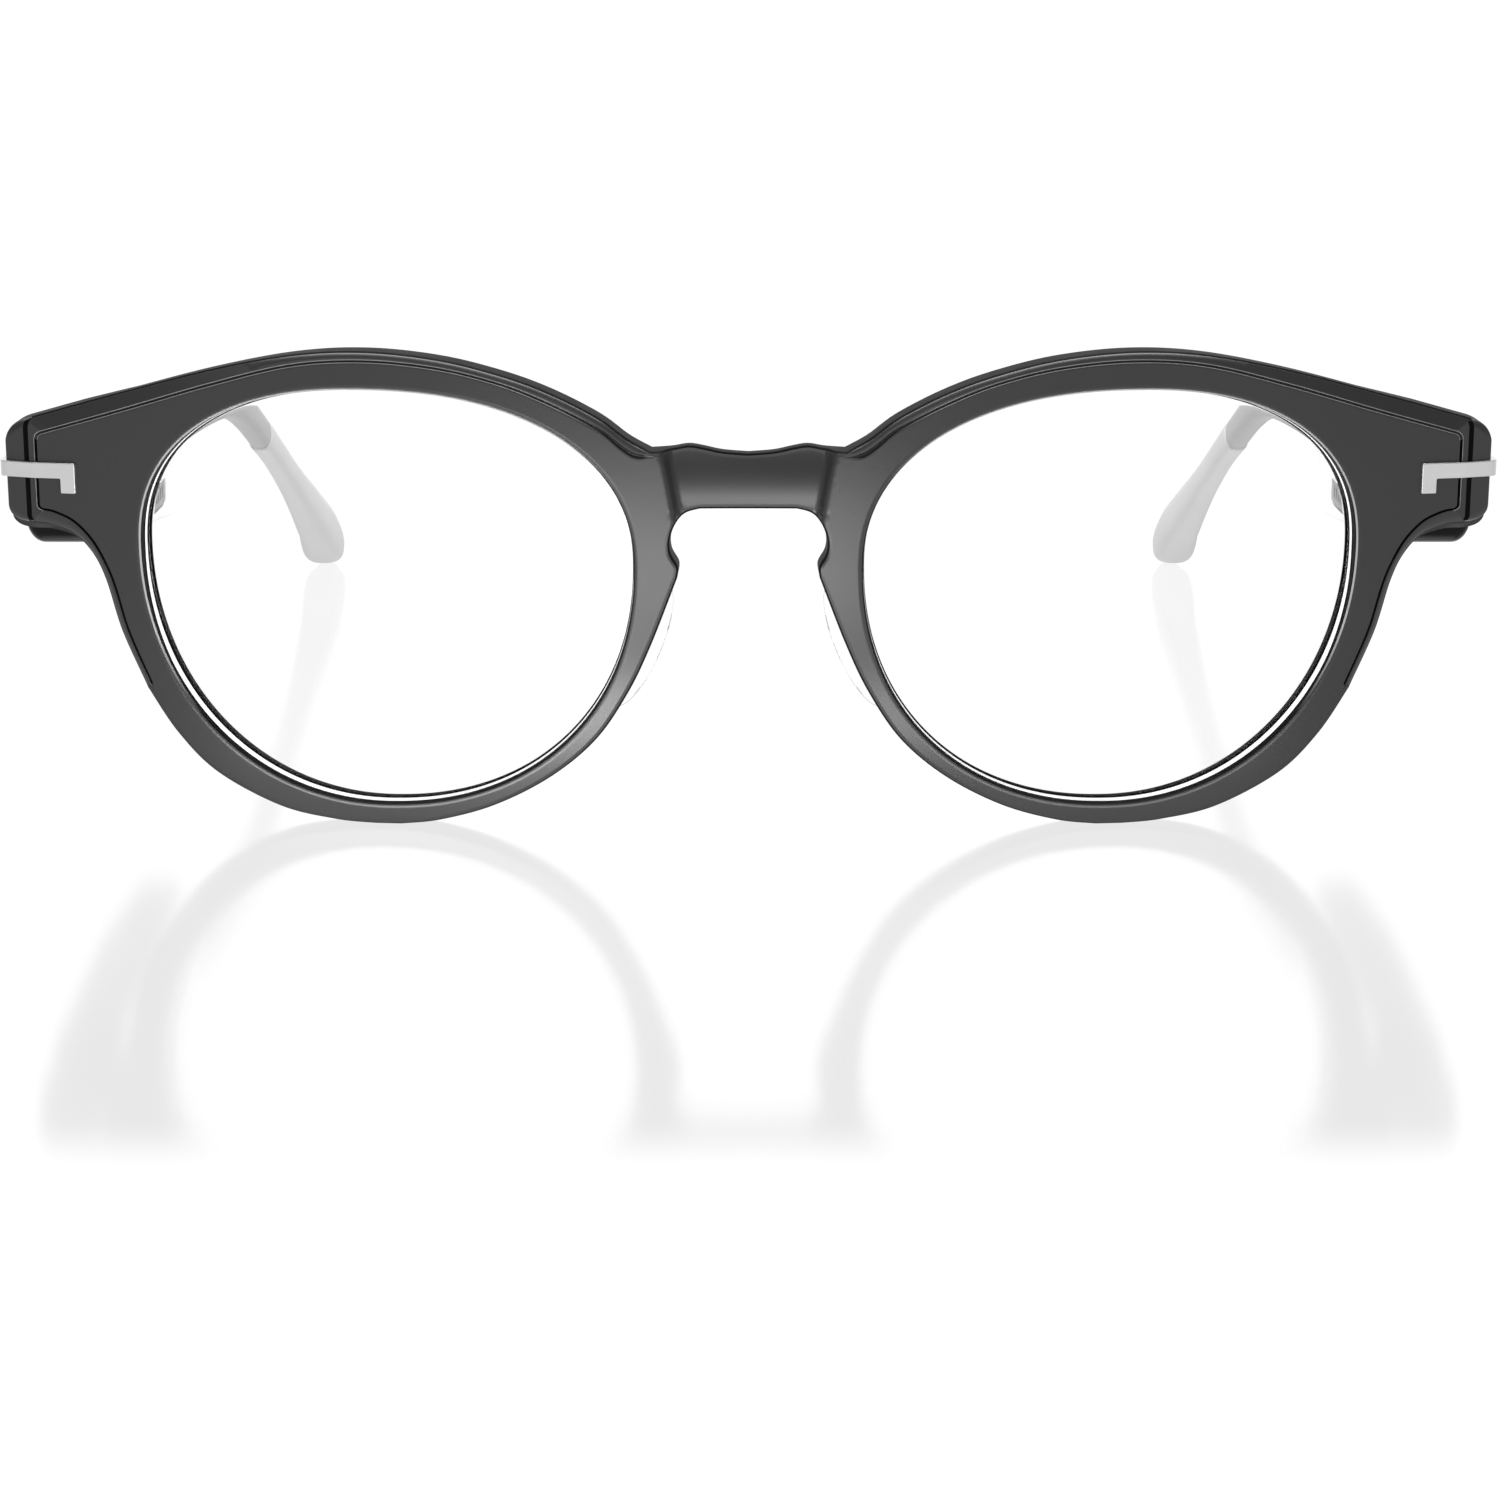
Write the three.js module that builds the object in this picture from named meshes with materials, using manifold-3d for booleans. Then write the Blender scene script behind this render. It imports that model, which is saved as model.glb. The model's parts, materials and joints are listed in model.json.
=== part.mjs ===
// Smart glasses: a round panto front on swept end pieces, and two electronics temples that fold.
// Millimetres, +Z up. The front faces -Y, the temples run to +Y, and the floor is Z = 0.
// "depth" is the distance behind the foremost plane of the front. Left and right are the wearer's:
// the wearer looks along -Y, so the left side is +X. Every side part is drawn on +X and mirrored.
import * as THREE from 'three';
import { mergeVertices } from 'three/addons/utils/BufferGeometryUtils.js';
import Module from 'manifold-3d';

const wasm = await Module();
wasm.setup();

// ---- driving dimensions -------------------------------------------------------------------
const TOTAL_DEPTH = 144;        // front face to the ends of the ear tips
const WRAP_RADIUS = 380;        // the front is bent round a vertical cylinder
const FRONT_THICKNESS = 4;
const FIT_GAP = 0.3;            // between separate pieces that touch
const FRONT_EDGE_X = 70.5;      // where the front face turns on to the side of the end piece
const SIDE_X = 72.8;            // outer side of the end pieces
const LUG_INNER_X = 64.9;
const LUG_BACK_DEPTH = 12.9;
const LUG_DROP = 1;             // the lug sits this much lower than the front's outline
const FACET_BACK_DEPTH = 7.7;   // where the slanted facet reaches the side of the end piece

const APERTURE = {
  outer: 59.4, inner: 11.1, top: 43, bottom: 2.2,
  topX: 37.6, bottomX: 35.6, outerZ: 27.3, innerZ: 26.0,
};
const LENS_LIP = 0.5;           // how far the lens reaches into its groove
const LENS_THICKNESS = 1.7;
const LENS_DEPTH = 1.2;         // lens front behind the front face

const HINGE = { x: 64.4, depth: 13, z: 34.1, barrelRadius: 1.5, boreRadius: 0.9, knuckle: 1.8 };
const HINGE_NOTCH_RADIUS = 1.9;
const LEAF_THICKNESS = 1;
const LEAF_HEIGHT = 6;

const TRIM = { top: 35.4, bar: 1.5, innerX: 65.6, legWidth: 1.5, legBottom: 32.4, proud: 0.4, sideProud: 0.65 };

const HOUSING = {
  front: 13.3, back: 60, outerX: 72.5, innerX: 65.9, wall: 1,
  frontTop: 38, backTop: 35, frontBottom: 26, backBottom: 21.2,
  taperStart: 42, taperedX: 69.8,
};
const COVER = { innerX: 64.8, thickness: 0.8 };
const UNDERSIDE_SLOPE = Math.atan2(
  HOUSING.frontBottom - HOUSING.backBottom, HOUSING.back - HOUSING.front);
const TENON = { front: 55.2, back: 61, bottom: 31, top: 33.9, innerX: 66.3, outerX: 68.1 };

// ---- colours and finishes -----------------------------------------------------------------
const finish = (colour, roughness, metalness = 0) =>
  new THREE.MeshStandardMaterial({ color: colour, roughness, metalness });
const BLACK_GLOSS = finish(0x1b1b1c, 0.25);
const PALE_GREY = finish(0xd8d9da, 0.45);
const ARM_GREY = finish(0xb4b5b6, 0.5);
const TIP_GREY = finish(0xcdcecf, 0.6);
const CLEAR = new THREE.MeshStandardMaterial({
  color: 0xf4f7f8, roughness: 0.05, metalness: 0, transparent: true, opacity: 0.25 });
const SILVER = finish(0xc9c9c8, 0.3, 1);
const STEEL = finish(0x8d8f92, 0.35, 1);
const GOLD = finish(0xd2ac55, 0.3, 1);
const BOARD_GREEN = finish(0x1f5b3c, 0.5);
const BATTERY_FOIL = finish(0x9a9da3, 0.4, 0.6);
const DARK_PLASTIC = finish(0x2b2c2e, 0.55);
const AMBER_FILM = finish(0xb06a1e, 0.45);

// ---- solids -------------------------------------------------------------------------------
function weld(geometry) {
  const bare = new THREE.BufferGeometry();
  bare.setAttribute('position', geometry.getAttribute('position').clone());
  if (geometry.index) bare.setIndex(geometry.index.clone());
  return mergeVertices(bare, 1e-4);
}

function toSolid(geometry) {
  const merged = weld(geometry);
  return new wasm.Manifold(new wasm.Mesh({
    numProp: 3,
    vertProperties: new Float32Array(merged.getAttribute('position').array),
    triVerts: new Uint32Array(merged.index.array),
  }));
}

function toGeometry(solid) {
  const mesh = solid.getMesh();
  const geometry = new THREE.BufferGeometry();
  geometry.setAttribute('position', new THREE.BufferAttribute(new Float32Array(mesh.vertProperties), 3));
  geometry.setIndex(new THREE.BufferAttribute(new Uint32Array(mesh.triVerts), 1));
  geometry.computeVertexNormals();
  return geometry;
}

function carve(geometry, ...tools) {
  let solid = toSolid(geometry);
  for (const tool of tools) solid = solid.subtract(toSolid(tool));
  return toGeometry(solid);
}

function join(...pieces) {
  let solid = toSolid(pieces[0]);
  for (const piece of pieces.slice(1)) solid = solid.add(toSolid(piece));
  return toGeometry(solid);
}

function keepCommon(first, second) {
  return toGeometry(toSolid(first).intersect(toSolid(second)));
}

function mirrored(geometry) {
  const copy = weld(geometry);
  copy.scale(-1, 1, 1);
  const flipped = Array.from(copy.index.array);
  for (let i = 0; i < flipped.length; i += 3) {
    [flipped[i + 1], flipped[i + 2]] = [flipped[i + 2], flipped[i + 1]];
  }
  copy.setIndex(flipped);
  return copy;
}

// ---- drawing helpers ----------------------------------------------------------------------
function boxBetween(x0, x1, depth0, depth1, z0, z1) {
  const geometry = new THREE.BoxGeometry(x1 - x0, depth1 - depth0, z1 - z0);
  geometry.translate((x0 + x1) / 2, (depth0 + depth1) / 2, (z0 + z1) / 2);
  return geometry;
}

function sag(x) {
  return WRAP_RADIUS - Math.sqrt(WRAP_RADIUS ** 2 - x ** 2);
}

// Wraps flat pieces round the cylinder. Their walls lean in so that they stay square to the face,
// up to the end pieces, which keep their sides straight.
function bend(geometry) {
  const position = geometry.getAttribute('position');
  for (let i = 0; i < position.count; i += 1) {
    const x = position.getX(i);
    const depth = position.getY(i);
    const share = THREE.MathUtils.clamp((LUG_INNER_X - Math.abs(x)) / 5, 0, 1);
    position.setX(i, x * (1 - (depth / WRAP_RADIUS) * share));
    position.setY(i, depth + sag(x));
  }
  return geometry;
}

// A shape drawn in (x, z) and extruded back from depth0 to depth1.
function frontSlab(shape, depth0, depth1) {
  const geometry = new THREE.ExtrudeGeometry(shape, { depth: depth1 - depth0, bevelEnabled: false });
  geometry.rotateX(Math.PI / 2);
  geometry.translate(0, depth1, 0);
  return geometry;
}

// A shape drawn in (depth, z) and extruded across from x0 to x1.
function sideSlab(shape, x0, x1, curveSegments = 6) {
  const geometry = new THREE.ExtrudeGeometry(
    shape, { depth: x1 - x0, bevelEnabled: false, curveSegments });
  geometry.applyMatrix4(new THREE.Matrix4().makeBasis(
    new THREE.Vector3(0, 1, 0), new THREE.Vector3(0, 0, 1), new THREE.Vector3(1, 0, 0)));
  geometry.translate(x0, 0, 0);
  return geometry;
}

// A shape drawn in (x, depth) and extruded up from z0 to z1.
function planSlab(corners, z0, z1) {
  const shape = new THREE.Shape(corners.map(([x, depth]) => new THREE.Vector2(x, depth)));
  const geometry = new THREE.ExtrudeGeometry(shape, { depth: z1 - z0, bevelEnabled: false });
  geometry.translate(0, 0, z0);
  return geometry;
}

// A closed outline whose corners [u, v, radius] are rounded.
function roundedOutline(corners) {
  const shape = new THREE.Shape();
  corners.forEach(([u, v, radius], i) => {
    const corner = new THREE.Vector2(u, v);
    const before = new THREE.Vector2(...corners.at(i - 1).slice(0, 2)).sub(corner).setLength(radius);
    const after = new THREE.Vector2(...corners[(i + 1) % corners.length].slice(0, 2))
      .sub(corner).setLength(radius);
    before.add(corner);
    after.add(corner);
    if (i === 0) shape.moveTo(before.x, before.y);
    else shape.lineTo(before.x, before.y);
    shape.quadraticCurveTo(corner.x, corner.y, after.x, after.y);
  });
  shape.closePath();
  return shape;
}

function roundedRectangle(u0, u1, v0, v1, radius) {
  return roundedOutline([[u0, v0, radius], [u1, v0, radius], [u1, v1, radius], [u0, v1, radius]]);
}

function postAlongX(radius, x0, x1, depth, z, segments = 16) {
  const geometry = new THREE.CylinderGeometry(radius, radius, x1 - x0, segments);
  geometry.rotateZ(Math.PI / 2);
  geometry.translate((x0 + x1) / 2, depth, z);
  return geometry;
}

function hingePost(radius, z0, z1, segments = 24) {
  const geometry = new THREE.CylinderGeometry(radius, radius, z1 - z0, segments);
  geometry.rotateX(Math.PI / 2);
  geometry.translate(HINGE.x, HINGE.depth, (z0 + z1) / 2);
  return geometry;
}

// Rings of equal length joined into one closed skin, with a flat cap on each end ring.
function loft(rings) {
  const size = rings[0].length;
  const points = rings.flat();
  const faces = [];
  for (let r = 0; r + 1 < rings.length; r += 1) {
    for (let i = 0; i < size; i += 1) {
      const a = r * size + i;
      const b = r * size + (i + 1) % size;
      faces.push(a, b, a + size, b, b + size, a + size);
    }
  }
  const last = (rings.length - 1) * size;
  for (let i = 1; i + 1 < size; i += 1) {
    faces.push(0, i + 1, i, last, last + i, last + i + 1);
  }
  const geometry = new THREE.BufferGeometry();
  geometry.setAttribute('position', new THREE.Float32BufferAttribute(points.flatMap((p) => p.toArray()), 3));
  geometry.setIndex(faces);
  return geometry;
}

// ---- the front's outlines -----------------------------------------------------------------
// One quadrant of a superellipse from (cx + a, cz) towards (cx, cz + b); a and b carry the signs.
function quadrant(cx, cz, a, b, power, steps) {
  const points = [];
  for (let i = 0; i < steps; i += 1) {
    const t = (i / steps) * Math.PI / 2;
    points.push(new THREE.Vector2(
      cx + a * Math.cos(t) ** (2 / power), cz + b * Math.sin(t) ** (2 / power)));
  }
  return points;
}

// The lens opening on the +X side, grown by `grow`, anticlockwise from its outer side.
function apertureOutline(grow, steps = 11) {
  const a = APERTURE;
  const up = (z) => a.top + grow - z;
  const down = (z) => a.bottom - grow - z;
  const outTop = quadrant(a.topX, a.outerZ, a.outer + grow - a.topX, up(a.outerZ), 2.3, steps);
  const inTop = quadrant(a.topX, a.innerZ, a.inner - grow - a.topX, up(a.innerZ), 2.25, steps);
  const inLow = quadrant(a.bottomX, a.innerZ, a.inner - grow - a.bottomX, down(a.innerZ), 2.15, steps);
  const outLow = quadrant(a.bottomX, a.outerZ, a.outer + grow - a.bottomX, down(a.outerZ), 2.06, steps);
  const top = new THREE.Vector2(a.topX, a.top + grow);
  const bottom = new THREE.Vector2(a.bottomX, a.bottom - grow);
  return [
    ...outTop, top, ...inTop.slice(1).reverse(),
    inLow[0], ...inLow.slice(1), bottom, ...outLow.slice(1).reverse(),
  ];
}

const vectors = (pairs) => pairs.map(([x, z]) => new THREE.Vector2(x, z));

// The +X half of the outer edge, from the top of the bridge round to its underside.
function halfOutline() {
  const path = new THREE.Path();
  path.moveTo(0, 36.9);
  path.splineThru(vectors([[2.5, 37.1], [4.4, 37.5], [5.8, 37.7], [7.4, 37.45], [9.4, 37.3]]));
  path.splineThru(vectors([
    [11.6, 38.5], [14.5, 40.6], [19.2, 42.95], [24, 44.65], [30, 46.05], [37, 46.7], [44, 46.3],
    [52, 44.75], [61, 42.35], [70.6, 39.6]]));
  path.quadraticCurveTo(72.5, 39, SIDE_X, 37.3);
  path.lineTo(SIDE_X, 31);
  path.quadraticCurveTo(SIDE_X, 29.5, 71, 29.4);
  path.splineThru(vectors([[68.6, 29.2], [66.2, 28.3], [64.4, 26.4], [63.2, 23.8]]));
  path.splineThru(vectors([
    [61.8, 18.7], [59.6, 13.5], [56.5, 8.6], [52.6, 4.7], [46.4, 1.5], [40.9, 0.3], [37, 0]]));
  path.lineTo(34.4, 0);
  path.splineThru(vectors([
    [30.4, 0.5], [25, 2.1], [19.5, 5], [15, 8.8], [11.8, 13.5], [9.5, 18.3], [6.9, 25]]));
  path.splineThru(vectors([[6.8, 26.1], [7.5, 27.4], [7.6, 28.7], [7.1, 30.2], [6.1, 31.2], [4.7, 31.6]]));
  path.lineTo(0, 31.6);
  return dropRepeats(path.getPoints(3));
}

function dropRepeats(points) {
  return points.filter((point, i) => i === 0 || point.distanceTo(points[i - 1]) > 0.05);
}

function frontShape(apertureGrow) {
  const half = halfOutline();
  const other = half.slice(1, -1).reverse().map((p) => new THREE.Vector2(-p.x, p.y));
  const shape = new THREE.Shape([...half, ...other]);
  const hole = apertureOutline(apertureGrow);
  shape.holes.push(new THREE.Path(hole));
  shape.holes.push(new THREE.Path(hole.map((p) => new THREE.Vector2(-p.x, p.y)).reverse()));
  return shape;
}

// ---- front pieces -------------------------------------------------------------------------
function endPieceLug() {
  const solidFront = frontShape(0);
  solidFront.holes = [];
  const block = frontSlab(solidFront, 8.5, LUG_BACK_DEPTH);
  block.translate(0, 0, -LUG_DROP);
  return keepCommon(block, boxBetween(LUG_INNER_X, SIDE_X + 1, 0, 20, 20, 50));
}

// The wedge that turns the outer front corner into a slanted side facet.
function facetWedge() {
  const far = SIDE_X + 10;
  return planSlab([
    [FRONT_EDGE_X, 0], [far, 0], [far, FACET_BACK_DEPTH], [SIDE_X, FACET_BACK_DEPTH],
    [FRONT_EDGE_X, sag(FRONT_EDGE_X)]], 20, 50);
}

// A shallow upright hollow down the middle of the bridge.
function saddleHollow() {
  const radius = 26;
  const hollow = 0.9;
  const geometry = new THREE.CylinderGeometry(radius, radius, 12, 96);
  geometry.rotateX(Math.PI / 2);
  geometry.translate(0, hollow - radius, 36);
  return geometry;
}

function trimSolid(grow) {
  const t = TRIM;
  const under = 0.6 + grow;
  const out = t.proud + grow;
  const sideX = SIDE_X + t.sideProud + grow;
  const corner = sag(FRONT_EDGE_X);
  const band = planSlab([
    [t.innerX - grow, sag(t.innerX) - out], [FRONT_EDGE_X, corner - out],
    [sideX, FACET_BACK_DEPTH - 0.1], [sideX, LUG_BACK_DEPTH + grow],
    [SIDE_X - under, LUG_BACK_DEPTH + grow], [SIDE_X - under, FACET_BACK_DEPTH + 0.5],
    [FRONT_EDGE_X - 0.4, corner + under], [t.innerX - grow, sag(t.innerX) + under],
  ], t.top - t.bar - grow, t.top + grow);
  const leg = boxBetween(
    t.innerX - grow, t.innerX + t.legWidth + grow,
    sag(t.innerX) - out, sag(t.innerX) + under, t.legBottom - grow, t.top - grow - 0.1);
  return join(band, leg);
}

function frontFrame() {
  const grooveGrow = LENS_LIP + FIT_GAP;
  const grooveFront = LENS_DEPTH - FIT_GAP;
  const grooveBack = LENS_DEPTH + LENS_THICKNESS + FIT_GAP;
  const blank = frontSlab(frontShape(0), 0, FRONT_THICKNESS);
  const half = frontSlab(new THREE.Shape(apertureOutline(grooveGrow)), grooveFront, grooveBack);
  const plate = bend(carve(blank, half, mirrored(half)));
  const lug = endPieceLug();
  const notch = hingePost(HINGE_NOTCH_RADIUS, HINGE.z - 4.5, HINGE.z + 4.5);
  const wedge = facetWedge();
  const pocket = trimSolid(FIT_GAP);
  return carve(
    join(plate, lug, mirrored(lug)), wedge, mirrored(wedge), notch, mirrored(notch),
    pocket, mirrored(pocket), saddleHollow());
}

function lens() {
  const shape = new THREE.Shape(apertureOutline(LENS_LIP));
  return bend(frontSlab(shape, LENS_DEPTH, LENS_DEPTH + LENS_THICKNESS));
}

function nosePad() {
  const pad = new THREE.SphereGeometry(1, 20, 12);
  pad.scale(1.5, 3.7, 6.8);
  pad.rotateZ(-0.5);
  pad.rotateY(-0.42);
  pad.translate(10.9, 8.0, 17);
  return pad;
}

function hingeLeaf(depth0, depth1, knuckleLevels) {
  const plate = boxBetween(
    HINGE.x - 0.8, HINGE.x - 0.8 + LEAF_THICKNESS, depth0, depth1,
    HINGE.z - LEAF_HEIGHT / 2, HINGE.z + LEAF_HEIGHT / 2);
  const half = HINGE.knuckle / 2;
  const pitch = HINGE.knuckle + FIT_GAP;
  const knuckles = knuckleLevels.map((level) => {
    const z = HINGE.z + level * pitch;
    return hingePost(HINGE.barrelRadius, z - half, z + half);
  });
  const gaps = [-1, 0, 1].filter((level) => !knuckleLevels.includes(level)).map((level) => {
    const z = HINGE.z + level * pitch;
    const reach = level === 0 ? half + FIT_GAP : half + FIT_GAP + 0.3;
    return hingePost(HINGE_NOTCH_RADIUS, z - reach, z + reach);
  });
  const bore = hingePost(HINGE.boreRadius, HINGE.z - 5, HINGE.z + 5);
  return carve(join(carve(plate, ...gaps), ...knuckles), bore);
}

function hingeScrew() {
  const head = HINGE.z + LEAF_HEIGHT / 2 + 0.35;
  const profile = vectors([[0, HINGE.z - 3.4], [0.6, HINGE.z - 3.4], [0.6, head], [1.3, head],
    [1.3, head + 0.5], [0.9, head + 0.8], [0, head + 0.8]]);
  const screw = new THREE.LatheGeometry(profile, 20);
  screw.rotateX(Math.PI / 2);
  screw.translate(HINGE.x, HINGE.depth, 0);
  const slot = boxBetween(
    HINGE.x - 2, HINGE.x + 2, HINGE.depth - 0.2, HINGE.depth + 0.2, head + 0.45, head + 2);
  return carve(screw, slot);
}

// ---- temple pieces ------------------------------------------------------------------------
function housingOutline(inset) {
  const h = HOUSING;
  return roundedOutline([
    [h.front + inset, h.frontBottom + inset, 2.5], [h.back - inset, h.backBottom + inset, 6 - inset],
    [h.back - inset, h.backTop - inset, 2], [h.front + inset, h.frontTop - inset, 1]]);
}

function undersideZ(depth) {
  return HOUSING.frontBottom - (depth - HOUSING.front) * Math.tan(UNDERSIDE_SLOPE);
}

// What the outer wall loses where it tapers towards the arm; `inset` moves it inwards for the cavity.
function taperWedge(inset) {
  const h = HOUSING;
  return planSlab([
    [h.outerX - inset, h.taperStart], [h.outerX + 5, h.taperStart], [h.outerX + 5, h.back + 1],
    [h.taperedX - inset, h.back + 1]], h.backBottom - 5, h.frontTop + 5);
}

const COVER_SCREWS = [{ depth: 16.6, z: 28.8 }, { depth: 41.2, z: 27.3 }];
const CONTACTS = [{ depth: 45.6, z: 33.2 }, { depth: 49.2, z: 33.2 }];
const MIC = { depth: 20.6, width: 3 };
const GRILLE = { front: 43.2, back: 51.2, bottom: 23.8, top: 26.4 };

function templeShell(windows) {
  const h = HOUSING;
  const block = carve(sideSlab(housingOutline(0), h.innerX, h.outerX), taperWedge(0));
  const cavity = carve(
    sideSlab(housingOutline(h.wall), h.innerX - 1, h.outerX - h.wall), taperWedge(h.wall));
  const tenonSlot = boxBetween(
    TENON.innerX - 1, TENON.outerX + FIT_GAP, h.back - 3, h.back + 1,
    TENON.bottom - FIT_GAP, TENON.top + FIT_GAP);
  const notch = hingePost(HINGE_NOTCH_RADIUS, HINGE.z - 4.5, HINGE.z + 4.5);
  const micZ = undersideZ(MIC.depth);
  const micHole = boxBetween(68.6, 69.4, MIC.depth - 0.4, MIC.depth + 0.4, micZ - 1, micZ + 1.5);
  const bosses = COVER_SCREWS.map(({ depth, z }) =>
    postAlongX(1.3, h.innerX + FIT_GAP, h.outerX - h.wall / 2, depth, z));
  const bores = COVER_SCREWS.map(({ depth, z }) => postAlongX(0.85, h.innerX - 1, 69.4, depth, z));
  return carve(
    join(carve(block, cavity), ...bosses), ...bores, tenonSlot, notch, micHole, ...windows);
}

function innerCover() {
  const x1 = COVER.innerX + COVER.thickness;
  const plate = sideSlab(housingOutline(0), COVER.innerX, x1);
  const notch = hingePost(HINGE_NOTCH_RADIUS, HINGE.z - 4.5, HINGE.z + 4.5);
  const screwHoles = COVER_SCREWS.map(({ depth, z }) =>
    postAlongX(0.9, COVER.innerX - 1, x1 + 1, depth, z));
  const contactHoles = CONTACTS.map(({ depth, z }) =>
    postAlongX(1.3, COVER.innerX - 1, x1 + 1, depth, z));
  const g = GRILLE;
  const window = sideSlab(
    roundedRectangle(g.front - FIT_GAP, g.back + FIT_GAP, g.bottom - FIT_GAP, g.top + FIT_GAP, 1),
    COVER.innerX - 1, x1 + 1, 3);
  return carve(plate, notch, ...screwHoles, ...contactHoles, window);
}

function coverScrew({ depth, z }) {
  const headX = COVER.innerX - FIT_GAP;
  const profile = vectors([[0, 0], [1.1, 0], [1.1, 0.6], [0.55, 0.6], [0.55, 3.9], [0, 4.3]]);
  const screw = new THREE.LatheGeometry(profile, 14);
  screw.rotateZ(-Math.PI / 2);
  screw.translate(headX - 0.6, depth, z);
  return screw;
}

function battery() {
  return sideSlab(roundedRectangle(19, 41, 29, 34.6, 1.2), 66.2, 69.3, 4);
}

function circuitBoard() {
  const board = sideSlab(roundedRectangle(18.4, 44, 29, 34.6, 0.6), 69.8, 70.4, 2);
  const chips = [[20, 25, 30, 34], [28, 31, 29.6, 32.6], [34, 40, 30.2, 33.6]].map(
    ([front, back, bottom, top]) => boxBetween(70.2, 70.95, front, back, bottom, top));
  return join(board, ...chips);
}

function flexCable() {
  return boxBetween(68.9, 69.1, 44.4, 54, 31, 33.6);
}

function speakerDriver() {
  const can = sideSlab(roundedRectangle(43.4, 52, 24.4, 28.6, 1.6), 66.6, 68.9, 4);
  const cone = sideSlab(roundedRectangle(44.4, 51, 25.2, 27.8, 1.2), 66.1, 66.8, 4);
  return join(can, cone);
}

function speakerGrille() {
  const g = GRILLE;
  const plate = sideSlab(roundedRectangle(g.front, g.back, g.bottom, g.top, 0.8), 64.9, 65.5, 3);
  const slots = [-2, -1, 0, 1, 2].map((i) => {
    const depth = (g.front + g.back) / 2 + i * 1.32;
    return boxBetween(64, 66, depth - 0.3, depth + 0.3, g.bottom + 0.6, g.top - 0.6);
  });
  return carve(plate, ...slots);
}

function microphone() {
  const z = undersideZ(MIC.depth) + 1.5;
  const half = MIC.width / 2;
  return boxBetween(68, 70, MIC.depth - half, MIC.depth + half, z + 0.2, z + 1.2);
}

function chargingContact({ depth, z }) {
  const profile = vectors([[0, 0], [0.8, 0], [1, 0.2], [1, 1.2], [0.5, 1.2], [0.5, 2.4], [0, 2.4]]);
  const pin = new THREE.LatheGeometry(profile, 14);
  pin.rotateZ(-Math.PI / 2);
  pin.translate(COVER.innerX - 0.1, depth, z);
  return pin;
}

function chargingMagnet() {
  return postAlongX(1.4, 66, 68, 53, 32.4, 16);
}

// Stations along the slim arm and the ear tip: depth, height of the middle above the floor,
// thickness across, height of the section, and the downward pitch in degrees.
const ARM_STATIONS = [
  [60.6, 32.8, 3.4, 5, 5], [72, 31.9, 3.2, 4.6, 6], [83, 30.8, 3.1, 4.3, 8],
  [91, 29.3, 3.1, 4.2, 15], [97, 27, 2.9, 4.1, 25], [103.6, 23.6, 2.8, 4, 28]];
const TIP_STATIONS = [
  [103.9, 23.4, 3, 4.3, 28], [110, 20.1, 2.8, 4, 30], [118, 15.3, 3.1, 4.3, 31],
  [125, 11, 3.9, 5.4, 32], [131, 7.2, 4.8, 6.4, 34], [136.4, 4.1, 5.4, 6.8, 38],
  [140.5, 2.2, 5, 5.2, 44], [143, 1.5, 2.6, 3.2, 52]];
const ARM_LEAN = 0.118;         // how fast the arm leans in towards the head
const LEAN_END = 131;           // the depth where it stops leaning

function armX(depth) {
  return 66.9 - ARM_LEAN * (Math.min(depth, LEAN_END) - HOUSING.back);
}

function ovalRing([depth, z, thickness, height, pitch], corners = 14) {
  const tilt = THREE.MathUtils.degToRad(pitch);
  const x = armX(depth);
  const ring = [];
  for (let i = 0; i < corners; i += 1) {
    const angle = (i / corners) * 2 * Math.PI;
    const across = (thickness / 2) * Math.sign(Math.cos(angle)) * Math.abs(Math.cos(angle)) ** 0.7;
    const up = (height / 2) * Math.sign(Math.sin(angle)) * Math.abs(Math.sin(angle)) ** 0.7;
    ring.push(new THREE.Vector3(x + across, depth + up * Math.sin(tilt), z + up * Math.cos(tilt)));
  }
  return ring;
}

function templeArm() {
  const t = TENON;
  const tenon = boxBetween(t.innerX, t.outerX, t.front, t.back, t.bottom, t.top);
  return join(loft(ARM_STATIONS.map((station) => ovalRing(station)).reverse()), tenon);
}

function earTip() {
  const floor = boxBetween(40, 80, 90, 160, -10, 0);
  return carve(loft(TIP_STATIONS.map((station) => ovalRing(station)).reverse()), floor);
}

// ---- controls in the underside of the right temple --------------------------------------------
const CONTROL_X = 69;
const BUTTON = { depth: 25.6, length: 5 };
const ROCKER = { depth: 35.4, length: 10 };
const CAP_WIDTH = 2.8;

// Drawn on the sloping underside: local y runs along it, local z into the housing from outside.
function onUnderside(geometry, depth) {
  geometry.rotateX(-UNDERSIDE_SLOPE);
  geometry.translate(CONTROL_X, depth, undersideZ(depth));
  return geometry;
}

function controlBlock(length, width, z0, z1) {
  return boxBetween(-width / 2, width / 2, -length / 2, length / 2, z0, z1);
}

function controlWindow({ depth, length }) {
  return onUnderside(controlBlock(length + 0.7, CAP_WIDTH + 0.7, -2, HOUSING.wall + 0.2), depth);
}

function controlCap({ depth, length }) {
  const cap = controlBlock(length, CAP_WIDTH, -0.5, 1.5);
  const flange = controlBlock(length + 1.6, CAP_WIDTH + 1.2, 1.35, 1.9);
  return onUnderside(join(cap, flange), depth);
}

function tactSwitch(depth, along) {
  const block = controlBlock(2.4, 2.4, 2.6, 3.3);
  block.translate(0, along, 0);
  return onUnderside(block, depth);
}

// ---- assembly -----------------------------------------------------------------------------
function add(group, name, geometry, material) {
  const mesh = new THREE.Mesh(geometry, material);
  mesh.name = name;
  group.add(mesh);
}

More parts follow.
